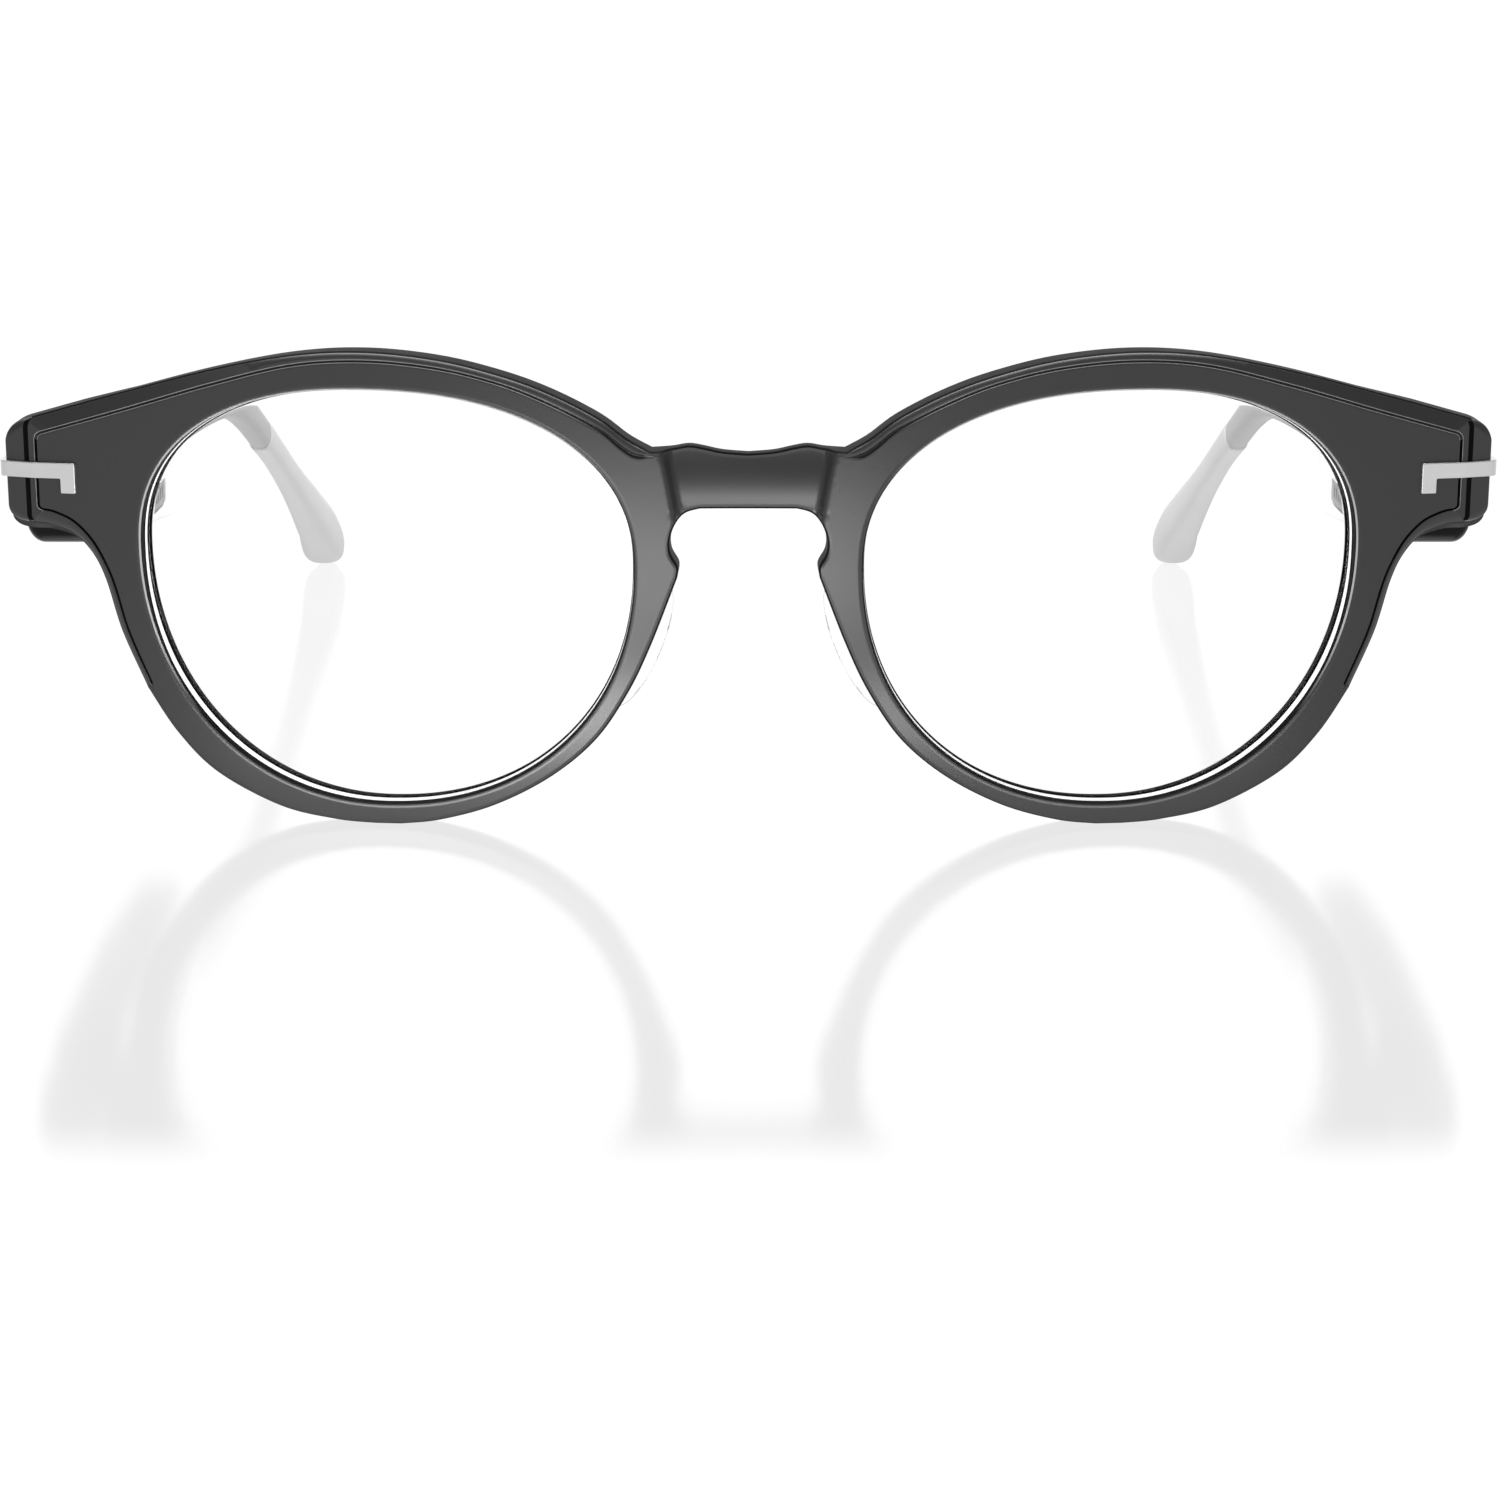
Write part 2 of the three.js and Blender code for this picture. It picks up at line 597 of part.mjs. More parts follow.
function addFrontSide(group, side) {
  const { depth } = HINGE;
  add(group, `lens_${side}`, lens(), CLEAR);
  add(group, `nose_pad_${side}`, nosePad(), CLEAR);
  add(group, `corner_trim_${side}`, trimSolid(0), SILVER);
  add(group, `front_hinge_leaf_${side}`, hingeLeaf(9.8, depth, [-1, 1]), STEEL);
  add(group, `hinge_screw_${side}`, hingeScrew(), STEEL);
}

function addTemple(group, side, windows) {
  const { depth } = HINGE;
  add(group, `temple_hinge_leaf_${side}`, hingeLeaf(depth, depth + 8.5, [0]), STEEL);
  add(group, `temple_shell_${side}`, templeShell(windows), BLACK_GLOSS);
  add(group, `temple_cover_${side}`, innerCover(), PALE_GREY);
  COVER_SCREWS.forEach((place, i) => {
    add(group, `cover_screw_${side}_${i + 1}`, coverScrew(place), STEEL);
  });
  add(group, `battery_${side}`, battery(), BATTERY_FOIL);
  add(group, `circuit_board_${side}`, circuitBoard(), BOARD_GREEN);
  add(group, `flex_cable_${side}`, flexCable(), AMBER_FILM);
  add(group, `speaker_driver_${side}`, speakerDriver(), DARK_PLASTIC);
  add(group, `speaker_grille_${side}`, speakerGrille(), DARK_PLASTIC);
  add(group, `microphone_${side}`, microphone(), STEEL);
  CONTACTS.forEach((place, i) => {
    add(group, `charging_contact_${side}_${i + 1}`, chargingContact(place), GOLD);
  });
  add(group, `charging_magnet_${side}`, chargingMagnet(), STEEL);
  add(group, `temple_arm_${side}`, templeArm(), ARM_GREY);
  add(group, `ear_tip_${side}`, earTip(), TIP_GREY);
}

function addControls(group) {
  add(group, 'action_button', controlCap(BUTTON), BLACK_GLOSS);
  add(group, 'volume_rocker', controlCap(ROCKER), BLACK_GLOSS);
  add(group, 'action_switch', tactSwitch(BUTTON.depth, 0), STEEL);
  add(group, 'volume_switch_front', tactSwitch(ROCKER.depth, -3), STEEL);
  add(group, 'volume_switch_rear', tactSwitch(ROCKER.depth, 3), STEEL);
}

const glasses = new THREE.Group();
glasses.position.y = -TOTAL_DEPTH / 2;
add(glasses, 'front_frame', frontFrame(), BLACK_GLOSS);

const left = new THREE.Group();
addFrontSide(left, 'left');
addTemple(left, 'left', []);
glasses.add(left);

const right = new THREE.Group();
right.scale.x = -1;
addFrontSide(right, 'right');
addTemple(right, 'right', [controlWindow(BUTTON), controlWindow(ROCKER)]);
addControls(right);
glasses.add(right);

export default glasses;
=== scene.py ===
"""Smart glasses: the finished looks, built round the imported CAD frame.

Lengths in the shape code are millimetres in the CAD's own terms: x across (left is +x), depth
behind the foremost plane of the front, and z above the floor. place() turns them into the frame's
metres. Every side piece is drawn on +x and mirrored for the right side.
"""

import math

import bmesh
import bpy
import numpy as np
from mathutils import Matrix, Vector
from mathutils.geometry import delaunay_2d_cdt
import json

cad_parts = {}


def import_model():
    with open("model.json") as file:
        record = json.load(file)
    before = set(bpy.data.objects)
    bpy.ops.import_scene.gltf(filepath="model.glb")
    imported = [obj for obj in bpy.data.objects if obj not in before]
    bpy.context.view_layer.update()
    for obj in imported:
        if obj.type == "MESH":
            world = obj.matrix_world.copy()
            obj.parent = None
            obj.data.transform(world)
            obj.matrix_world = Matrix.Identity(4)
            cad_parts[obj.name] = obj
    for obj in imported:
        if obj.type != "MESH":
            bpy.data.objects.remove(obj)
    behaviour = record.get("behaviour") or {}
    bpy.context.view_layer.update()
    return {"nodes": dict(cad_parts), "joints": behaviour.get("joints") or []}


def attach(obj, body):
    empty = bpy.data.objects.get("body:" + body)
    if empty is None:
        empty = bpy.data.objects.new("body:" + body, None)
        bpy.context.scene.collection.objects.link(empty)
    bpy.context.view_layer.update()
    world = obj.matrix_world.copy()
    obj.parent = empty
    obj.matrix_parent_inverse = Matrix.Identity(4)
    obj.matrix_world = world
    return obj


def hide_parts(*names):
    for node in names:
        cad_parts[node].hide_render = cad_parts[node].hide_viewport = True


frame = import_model()

MM = 0.001
SIDES = {"left": 1, "right": -1}
SIDE_NAMES = {1: "left", -1: "right"}
JOINTS = {j["name"]: j for j in frame["joints"]}

# ---- sizes, from the frame ------------------------------------------------------------------
HINGE_X, HINGE_Y, HINGE_Z = (c / MM for c in JOINTS["left_temple_fold"]["pos_m"])
HINGE_DEPTH = 13.0
FRONT_Y = HINGE_Y - HINGE_DEPTH          # the y of depth 0
WRAP_RADIUS = 380.0       # the cylinder that the front is wrapped round
THICKNESS = 4.0
SIDE_X = 72.8             # the outermost sides of the front
EDGE_X = 70.5             # where its face ends and the facet to the side begins
LUG_INNER_X = 64.9        # the lug is the block behind the front's end, which holds the hinge
LUG_FRONT = 9.3
LUG_BACK = 12.9
LUG_DROP = 1.0            # it sits this much lower than the front's outline
LUG_CUT = 1.1             # and its lower inner corner is cut back this far
LUG_CUT_Z = 29.3          # up to this height on the front's outline
NOTCH = dict(radius=1.9, half_height=4.5)      # the room round the hinge's knuckles


# ---- points and curves ----------------------------------------------------------------------
def sag(x):
    """How far behind its foremost plane the wrapped front lies at x."""
    return WRAP_RADIUS - np.sqrt(WRAP_RADIUS**2 - np.asarray(x, float) ** 2)


def spline(points, steps=24):
    """A Catmull-Rom curve through the points, as a fine polyline."""
    p = np.array(points, float)
    p = np.vstack([p[:1], p, p[-1:]])
    t = np.linspace(0, 1, steps, endpoint=False)[:, None]
    parts = []
    for a, b, c, d in zip(p, p[1:], p[2:], p[3:]):
        v0, v1 = (c - a) / 2, (d - b) / 2
        parts.append(
            (2 * b - 2 * c + v0 + v1) * t**3 + (-3 * b + 3 * c - 2 * v0 - v1) * t**2 + v0 * t + b
        )
    return np.vstack([*parts, p[-1:]])


def curve(a, corner, b, steps=24):
    """A quadratic curve from a to b, pulled towards the corner."""
    a, corner, b = (np.array(p, float) for p in (a, corner, b))
    t = np.linspace(0, 1, steps)[:, None]
    return a * (1 - t) ** 2 + corner * 2 * t * (1 - t) + b * t**2


def evenly(line, count):
    """count points spaced evenly along a polyline, without its last point."""
    line = np.array(line, float)
    run = np.concatenate([[0], np.cumsum(np.linalg.norm(np.diff(line, axis=0), axis=1))])
    at = np.linspace(0, run[-1], count, endpoint=False)
    return np.stack([np.interp(at, run, line[:, k]) for k in range(line.shape[1])], 1)


def evenly_round(ring, count):
    """count points spaced evenly round a closed ring."""
    return evenly(np.vstack([ring, ring[:1]]), count)


def inward(loop):
    """Unit normals of a closed 2D loop that runs clockwise, pointing into it."""
    ahead = np.roll(loop, -1, 0) - np.roll(loop, 1, 0)
    ahead /= np.linalg.norm(ahead, axis=1)[:, None]
    return np.stack([ahead[:, 1], -ahead[:, 0]], 1)


def clockwise(ring, wanted=True):
    """A closed 2D ring, reversed if it doesn't run the wanted way."""
    ring = np.array(ring, float)
    after = np.roll(ring, -1, 0)
    area = np.sum(ring[:, 0] * after[:, 1] - after[:, 0] * ring[:, 1])
    return ring if (area < 0) == wanted else ring[::-1]


def within(p, ring):
    """Which 2D points lie inside a closed ring."""
    inside = np.zeros(len(p), bool)
    for (x0, z0), (x1, z1) in zip(ring, np.roll(ring, -1, 0)):
        if z0 == z1:
            continue
        crosses = (z0 > p[:, 1]) != (z1 > p[:, 1])
        inside ^= crosses & (p[:, 0] < (x1 - x0) * (p[:, 1] - z0) / (z1 - z0) + x0)
    return inside


def grid_inside(outer, holes, step, margin):
    """Grid points inside a 2D outline and outside its holes, clear of every edge."""
    low, high = outer.min(0), outer.max(0)
    xs = np.arange(low[0], high[0], step)
    zs = np.arange(low[1], high[1], step)
    gx, gz = np.meshgrid(xs, zs)
    gx = gx + (np.arange(len(zs)) % 2)[:, None] * step / 2
    p = np.stack([gx.ravel(), gz.ravel()], 1)
    keep = within(p, outer)
    for hole in holes:
        keep &= ~within(p, hole)
    p = p[keep]
    edge = np.vstack([outer, *holes]) if holes else outer
    near = np.array([np.min(np.sum((edge - q) ** 2, 1)) for q in p])
    return p[near > margin**2]


def at_depth(loop, depth):
    """A 2D (x, z) loop as 3D points at a depth, one number or one for each point."""
    return np.stack([loop[:, 0], np.broadcast_to(depth, len(loop)), loop[:, 1]], 1)


def inset_loops(ring, profile):
    """A 2D ring drawn in by each inset of a profile and set at each depth."""
    normal = inward(ring)
    return [at_depth(ring + normal * inset, depth) for inset, depth in profile]


# ---- meshes ---------------------------------------------------------------------------------
def place(points):
    """Shape terms (x, depth, z in mm) to the frame's metres."""
    p = np.array(points, float)
    return np.stack([p[:, 0], p[:, 1] + FRONT_Y, p[:, 2]], 1) * MM


def put_in_scene(name, data):
    obj = bpy.data.objects.new(name, data)
    bpy.context.scene.collection.objects.link(obj)
    return obj


def new_object(name, points, faces, side=1, materials=(), kinds=None):
    """A smooth-shaded mesh object; side -1 mirrors it in x. kinds has a material number per face."""
    points = place(points)
    points[:, 0] *= side
    if side < 0:
        faces = [tuple(reversed(f)) for f in faces]
    mesh = bpy.data.meshes.new(name)
    mesh.from_pydata([tuple(p) for p in points], [], [tuple(int(i) for i in f) for f in faces])
    for m in materials:
        mesh.materials.append(m)
    if kinds is not None:
        mesh.polygons.foreach_set("material_index", kinds)
    mesh.validate()
    mesh.polygons.foreach_set("use_smooth", [True] * len(mesh.polygons))
    return put_in_scene(name, mesh)


def even_normals(obj):
    """Large faces set the shading, so that narrow bevels read as crisp rounded edges."""
    m = obj.modifiers.new("even_normals", "WEIGHTED_NORMAL")
    m.mode = "FACE_AREA"
    m.weight = 80
    m.keep_sharp = True
    return obj


def boolean(obj, tool, operation):
    """Joins or cuts obj with tool, applies it, and removes the tool."""
    m = obj.modifiers.new("boolean", "BOOLEAN")
    m.operation = operation
    m.solver = "MANIFOLD"
    m.object = tool
    bpy.context.view_layer.objects.active = obj
    bpy.ops.object.modifier_apply(modifier=m.name)
    bpy.data.objects.remove(tool)
    obj.data.polygons.foreach_set("use_smooth", [True] * len(obj.data.polygons))


class Skin:
    """Points and faces collected from loops and caps, welded by shared indices. Each face has a
    kind: the number of its material."""

    def __init__(self):
        self.points = []
        self.faces = []
        self.kinds = []

    def add(self, points):
        start = len(self.points)
        self.points.extend(np.array(points, float).tolist())
        return np.arange(start, len(self.points))

    def face(self, corners, kind=0):
        self.faces.append(tuple(corners))
        self.kinds.append(kind)

    def strip(self, a, b, kind=0):
        """Quads between two closed loops of equal length; kind is a number, or one per point."""
        n = len(a)
        kind = np.broadcast_to(kind, n)
        for i in range(n):
            j = (i + 1) % n
            self.face((a[i], a[j], b[j], b[i]), int(kind[i]))

    def strips(self, loops, kinds=None):
        """Adds the loops and the quads between each and the next; returns their indices."""
        ids = [self.add(loop) for loop in loops]
        kinds = kinds or [0] * (len(loops) - 1)
        for a, b, kind in zip(ids, ids[1:], kinds):
            self.strip(a, b, kind)
        return ids

    def outline(self, ids):
        """A loop seen face on, in 2D."""
        return np.array([self.points[i] for i in ids])[:, [0, 2]]

    def cap(self, loops, inside, depth, flip=False):
        """Fills between an outer loop and its holes with well-shaped triangles. loops are index
        arrays, outer first; inside is extra 2D points, which lie at the depth."""
        flat = [self.outline(ids) for ids in loops]
        edges = []
        start = 0
        for ring in flat:
            n = len(ring)
            edges += [(start + i, start + (i + 1) % n) for i in range(n)]
            start += n
        ids = np.concatenate([*loops, self.add(at_depth(inside, depth))])
        coords = [Vector(p) for p in np.vstack([*flat, inside])]
        spots, _, triangles, origins, *_ = delaunay_2d_cdt(coords, edges, [], 1, 1e-7)
        middles = np.array([sum((spots[k] for k in t), Vector((0, 0))) / 3 for t in triangles])
        keep = within(middles, flat[0])
        for hole in flat[1:]:
            keep &= ~within(middles, hole)
        for triangle in np.array(triangles)[keep]:
            corners = tuple(ids[origins[k][0]] for k in triangle)
            self.face(corners[::-1] if flip else corners)


def softened(loops, radii, kinds=None):
    """Rounds the profile at each inner loop: radii has one value for each loop but the ends. Each
    rounding takes half its kind from the strip before it and half from the one after."""
    kinds = kinds or [0] * (len(loops) - 1)
    out, marks = [loops[0]], []
    rows = zip(loops, loops[1:], loops[2:], radii, kinds, kinds[1:])
    for before, loop, after, radius, kind, next_kind in rows:
        marks.append(kind)
        if radius == 0:
            out.append(loop)
            continue
        back, ahead = before - loop, after - loop
        lb = np.linalg.norm(back, axis=1)[:, None]
        la = np.linalg.norm(ahead, axis=1)[:, None]
        a = loop + back * np.minimum(radius / np.maximum(lb, 1e-6), 0.45)
        b = loop + ahead * np.minimum(radius / np.maximum(la, 1e-6), 0.45)
        out += [a, 0.25 * a + 0.5 * loop + 0.25 * b, b]
        marks += [kind, next_kind]
    return [*out, loops[-1]], [*marks, kinds[-1]]


def face_outwards(obj):
    bm = bmesh.new()
    bm.from_mesh(obj.data)
    bmesh.ops.recalc_face_normals(bm, faces=bm.faces)
    bm.to_mesh(obj.data)
    bm.free()


def closed_object(name, loops, side=1):
    """Closed loops joined one to the next, with flat ends."""
    skin = Skin()
    ids = skin.strips(loops)
    skin.face(ids[0][::-1])
    skin.face(ids[-1])
    obj = new_object(name, skin.points, skin.faces, side)
    face_outwards(obj)
    return obj


def around(u, v, radius, corners=40):
    """Points round a circle, anticlockwise."""
    t = np.linspace(0, 2 * math.pi, corners, endpoint=False)
    return np.stack([u + radius * np.cos(t), v + radius * np.sin(t)], 1)


def post(name, x, depth, radius, z0, z1, side=1, corners=48):
    """An upright cylinder, for cutting."""
    ring = around(x, depth, radius, corners)
    loops = [np.column_stack([ring, np.full(corners, z)]) for z in (z0, z1)]
    return closed_object(name, loops, side)


# ---- the front's outlines -------------------------------------------------------------------
APERTURE = dict(outer=59.4, inner=11.1, top=43.0, bottom=2.2, top_x=37.6, bottom_x=35.6,
                outer_z=27.3, inner_z=26.0)
QUADRANT_POINTS = 48


def quadrant(centre, corner, power):
    """A quarter of a squarish oval, from beside its centre to above or below it."""
    t = np.linspace(0, 1, QUADRANT_POINTS, endpoint=False) * math.pi / 2
    a, b = (c - m for m, c in zip(centre, corner))
    turn = 2 / power
    return np.stack([centre[0] + a * np.cos(t) ** turn, centre[1] + b * np.sin(t) ** turn], 1)


def aperture(grow=0.0):
    """The lens opening on +x, grown all round, clockwise from its lowest point."""
    s = APERTURE
    outer, inner = s["outer"] + grow, s["inner"] - grow
    top, bottom = s["top"] + grow, s["bottom"] - grow
    out_top = quadrant((s["top_x"], s["outer_z"]), (outer, top), 2.3)
    in_top = quadrant((s["top_x"], s["inner_z"]), (inner, top), 2.25)
    in_low = quadrant((s["bottom_x"], s["inner_z"]), (inner, bottom), 2.15)
    out_low = quadrant((s["bottom_x"], s["outer_z"]), (outer, bottom), 2.06)
    ring = np.vstack([
        [[s["bottom_x"], bottom]], in_low[1:][::-1], in_top,
        [[s["top_x"], top]], out_top[1:][::-1], out_low])
    return evenly_round(ring, 4 * QUADRANT_POINTS)


BRIDGE_UNDERSIDE = 31.6


def outer_stretches():
    """Each stretch of the outer edge on +x, from the top of the bridge clockwise to its underside:
    how many points it gets, its silhouette, its front corner edge and the line of the groove beside
    it. Where those two are None, the edge is simply rounded."""
    return [
        (26, spline([(0, 36.9), (2.5, 37.1), (4.4, 37.5), (5.8, 37.7), (7.4, 37.45), (9.4, 37.3)]),
         None, None),
        (110, spline([(9.4, 37.3), (11.6, 38.5), (14.5, 40.6), (19.2, 42.95), (24, 44.65), (30, 46.05),
                      (37, 46.7), (44, 46.3), (52, 44.75), (61, 42.35), (EDGE_X, 39.6)]),
         None,
         spline([(9.45, 37.0), (10.9, 36.95), (12.4, 37.9), (14.4, 39.5), (19.2, 41.95), (24, 43.8),
                 (30, 45.2), (37, 45.8), (44, 45.3), (52, 43.3), (61, 40.6), (68.9, 38.3)])),
        (16, curve((EDGE_X, 39.6), (SIDE_X - 0.3, 39.0), (SIDE_X, 37.3)),
         [(70.6, 39.35), (70.78, 38.8)], curve((68.9, 38.3), (69.55, 38.1), (69.55, 37.5))),
        (18, [(SIDE_X, 37.3), (SIDE_X, 31)], [(70.78, 38.8), (70.78, 30)],
         [(69.55, 37.5), (69.55, 31.2)]),
        (14, curve((SIDE_X, 31), (SIDE_X, 29.5), (EDGE_X, 29.35)),
         [(70.78, 30), (70.6, 29.55)], curve((69.55, 31.2), (69.55, 30.75), (68.9, 30.7))),
        (60, spline([(EDGE_X, 29.35), (68.6, 29.2), (66.2, 28.3), (64.4, 26.4), (63.2, 23.8),
                     (61.8, 18.7), (59.6, 13.4)]),
         None,
         spline([(68.9, 30.7), (67.9, 30.5), (66, 29.6), (64.2, 27.7), (62.9, 25.2), (62.1, 22.9),
                 (61.0, 18.8), (58.9, 13.6)])),
        (3, [(59.6, 13.4), (59.35, 13.0)], None, [(58.9, 13.6), (59.1, 13.1)]),
        (70, spline([(59.35, 13.0), (56.5, 8.6), (52.6, 4.7), (46.4, 1.5), (40.9, 0.3), (37, 0)]),
         None, None),
        (4, [(37, 0), (34.4, 0)], None, None),
        (80, spline([(34.4, 0), (30.4, 0.5), (25, 2.1), (19.5, 5), (15, 8.8), (11.8, 13.5),
                     (9.5, 18.3), (6.9, 25)]), None, None),
        (26, spline([(6.9, 25), (6.8, 26.1), (7.5, 27.4), (7.6, 28.7), (7.1, 30.2), (6.1, 31.2),
                     (4.7, BRIDGE_UNDERSIDE)]), None, None),
        (12, [(4.7, BRIDGE_UNDERSIDE), (0, BRIDGE_UNDERSIDE)], None, None),
    ]


EDGE_ROUND = 0.4          # how far in from the silhouette a plain edge starts to round
EDGE_LIP = 0.2            # the outermost part of the face, where the edge turns steep
BEVEL_DEPTH = 0.45        # how far the band outside the groove falls back to the silhouette
FACET_DEPTH = 0.75        # and how far the facet on the side of the end piece does
GROOVE_HALF = 0.15
GROOVE_DEPTH = 0.3
GROOVE_TOP = 37.4         # above this the groove's lips carry a painted highlight, below it the groove is a dark line of painted shade
FACE, PAINTED_SHADE, EDGE_HIGHLIGHT, RIM_HIGHLIGHT = 0, 1, 2, 3     # polished face; dull darker black, painted shade; groove lip and edge with a painted highlight; rim of the opening with a painted highlight


def line_or_blanks(line, count):
    """A line as evenly spaced points, or as blanks where there is none."""
    return np.full((count, 2), np.nan) if line is None else evenly(line, count)


def both_sides(half):
    """Continues a loop's +x half round the -x side, from the last point back to the first."""
    return np.vstack([half, half[1:-1][::-1] * (-1, 1)])


def outer_rim():
    """The front's rim as loops of 3D points from the face to the back, with each strip's kind."""
    outline, corner, line = [], [], []
    for count, edge, corner_edge, groove in outer_stretches():
        outline.append(evenly(edge, count))
        corner.append(line_or_blanks(corner_edge, count))
        line.append(line_or_blanks(groove, count))
    blank = [[np.nan, np.nan]]
    outline = both_sides(np.vstack([*outline, [[0, BRIDGE_UNDERSIDE]]]))
    corner = both_sides(np.vstack([*corner, blank]))
    line = both_sides(np.vstack([*line, blank]))
    facet = ~np.isnan(corner[:, 0])
    normal = inward(outline)
    plain = np.isnan(line[:, 0])
    line[plain] = (outline + normal * EDGE_ROUND)[plain]
    width = np.linalg.norm(line - outline, axis=1)
    out = (outline - line) / width[:, None]
    share = np.clip((width - EDGE_ROUND) / 0.5, 0, 1)
    corner[~facet] = (outline - out * EDGE_LIP)[~facet]
    gap = np.where(facet, 0.5, 0.02)[:, None]
    corner_in = corner - out * gap
    corner_in[facet, 1] = corner[facet, 1]
    corner_in[facet, 0] = corner[facet, 0] - np.sign(corner[facet, 0]) * 0.5
    corner_depth = 0.06 + share * (BEVEL_DEPTH - 0.12)
    corner_depth[facet] = 0.12
    reach = np.clip((np.abs(outline[:, 0]) - EDGE_X) / (SIDE_X - EDGE_X), 0, 1)
    outline_depth = EDGE_ROUND + share * 0.2
    outline_depth += reach * (FACET_DEPTH - outline_depth)

    def across(far, near, depth):
        """A loop along the groove: its offset from the line where there is a groove, or where
        there is none."""
        offset = (far * share - near * (1 - share))[:, None]
        return at_depth(line + out * offset, depth * share)

    loops = [
        across(-0.45, 0.4, 0.0),
        across(-GROOVE_HALF, 0.2, 0.0),
        across(-0.06, 0.15, GROOVE_DEPTH),
        across(0.06, 0.1, GROOVE_DEPTH),
        across(GROOVE_HALF, 0.05, 0.02),
        at_depth(corner_in, corner_depth * 0.9),
        at_depth(corner, corner_depth),
        at_depth(outline, outline_depth),
        at_depth(outline, THICKNESS),
        at_depth(outline + normal * 0.8, THICKNESS),
    ]
    # Painted shade: the groove low down, the band beside the facet and the outer edge's rounding and
    # side take the dull darker black. Painted highlight: the groove's lips high up and beside the facet
    # take the bright edge colour.
    grooved = share > 0.6
    upper = grooved & (outline[:, 1] > GROOVE_TOP)
    beside = grooved & facet
    in_groove = np.where(grooved & ~upper, PAINTED_SHADE, FACE)
    kinds = [FACE, in_groove, in_groove, in_groove, FACE,
             np.where(facet, PAINTED_SHADE, FACE), np.where(facet, FACE, PAINTED_SHADE), PAINTED_SHADE, FACE]
    loops, kinds = softened(loops, [0.07, 0, 0, 0.07, 0, 0.07, 0.16, 0.4], kinds)
    kinds[1] = kinds[2] = np.where(upper, EDGE_HIGHLIGHT, FACE)
    kinds[6] = kinds[7] = np.where(upper | beside, EDGE_HIGHLIGHT, FACE)
    return loops, kinds


BRIDGE = dict(sink=1.05, step_x=8.0, step_width=1.1, step_lean=0.18, step_z=34.0,
              hollow=0.35, hollow_half=7.0, crown=0.035, crown_z=33.2, low=28.5, fade=1.8)


def bridge_recess(x, z):
    """How far the front face falls back at the bridge: a slanting step at each side, a hollow
    across, and a gentle crown from top to bottom."""
    b = BRIDGE
    outer = b["step_x"] + (z - b["step_z"]) * b["step_lean"]
    step = np.clip((outer - np.abs(x)) / b["step_width"], 0, 1)
    step = step * step * (3 - 2 * step)
    hollow = b["hollow"] * np.clip(1 - (x / b["hollow_half"]) ** 2, 0, 1)
    crown = b["crown"] * (z - b["crown_z"]) ** 2
    fade = np.clip((z - b["low"]) / b["fade"], 0, 1)
    return fade * step * (b["sink"] + hollow + crown)


RECESS_REACH = 2.6        # the depth at which the recess has faded out of the bridge's walls


def shape_front(points):
    """Sinks the bridge's front face and wraps the front round its cylinder."""
    p = np.array(points, float)
    x, depth, z = p.T
    surface = np.clip(1 - depth / RECESS_REACH, 0, 1)
    p[:, 1] = depth + surface * bridge_recess(x, z) * (np.abs(x) < 10)
    return wrapped(p)


def wrapped(points):
    """Wraps a flat piece round the front's cylinder, its walls square to the face."""
    p = np.array(points, float)
    x, depth = p[:, 0].copy(), p[:, 1].copy()
    share = np.clip((LUG_INNER_X - np.abs(x)) / 5, 0, 1)
    p[:, 0] = x * (1 - depth / WRAP_RADIUS * share)
    p[:, 1] = depth + sag(x)
    return p


GROOVE = dict(grow=0.8, front=1.2, back=3.2)      # the lens groove inside the opening
LIP_RISE = 0.6                       # low down, the groove's front lip stands this much forwards
LIP_START, LIP_FULL = 27.0, 16.0     # it starts to below the first height and is full at the second


def lip_rise(z):
    """How much further forwards the groove's front lip stands at a height."""
    return LIP_RISE * np.clip((LIP_START - z) / (LIP_START - LIP_FULL), 0, 1)


def opening_profile():
    """(outward offset, depth) of the lens opening from face to back, with each strip's kind."""
    profile = [
        (0.6, 0), (0.17, 0), (0.16, 0.01), (0.06, 0.1), (0.03, 0.18), (0, 0.35), (0, GROOVE["front"]),
        (GROOVE["grow"], GROOVE["front"]), (GROOVE["grow"], GROOVE["back"]), (0, GROOVE["back"]),
        (0, THICKNESS - 0.3), (0.09, THICKNESS - 0.09), (0.3, THICKNESS), (0.6, THICKNESS)]
    # Painted highlight on the front bevel and on the back edge; painted shade, the dull darker black, on
    # the walls and in the groove.
    kinds = [FACE, RIM_HIGHLIGHT, RIM_HIGHLIGHT, RIM_HIGHLIGHT, PAINTED_SHADE, PAINTED_SHADE, PAINTED_SHADE, PAINTED_SHADE, PAINTED_SHADE, PAINTED_SHADE, EDGE_HIGHLIGHT, EDGE_HIGHLIGHT, FACE]
    return profile, kinds


def opening_loops(side):
    """The loops round the opening from face to back, and each strip's kind."""
    profile, kinds = opening_profile()
    loops = []
    for grow, depth in profile:
        ring = aperture(grow)
        rise = lip_rise(ring[:, 1]) if depth == GROOVE["front"] else 0
        loops.append(at_depth(ring, depth - rise))
    return [loop * (-1, 1, 1) if side < 0 else loop[::-1] for loop in loops], kinds


def in_bridge(points, margin):
    """Which 2D points lie in the bridge, where the face needs a finer mesh."""
    return (np.abs(points[:, 0]) <= 9.7 + margin) & (points[:, 1] >= 28.1 - margin)


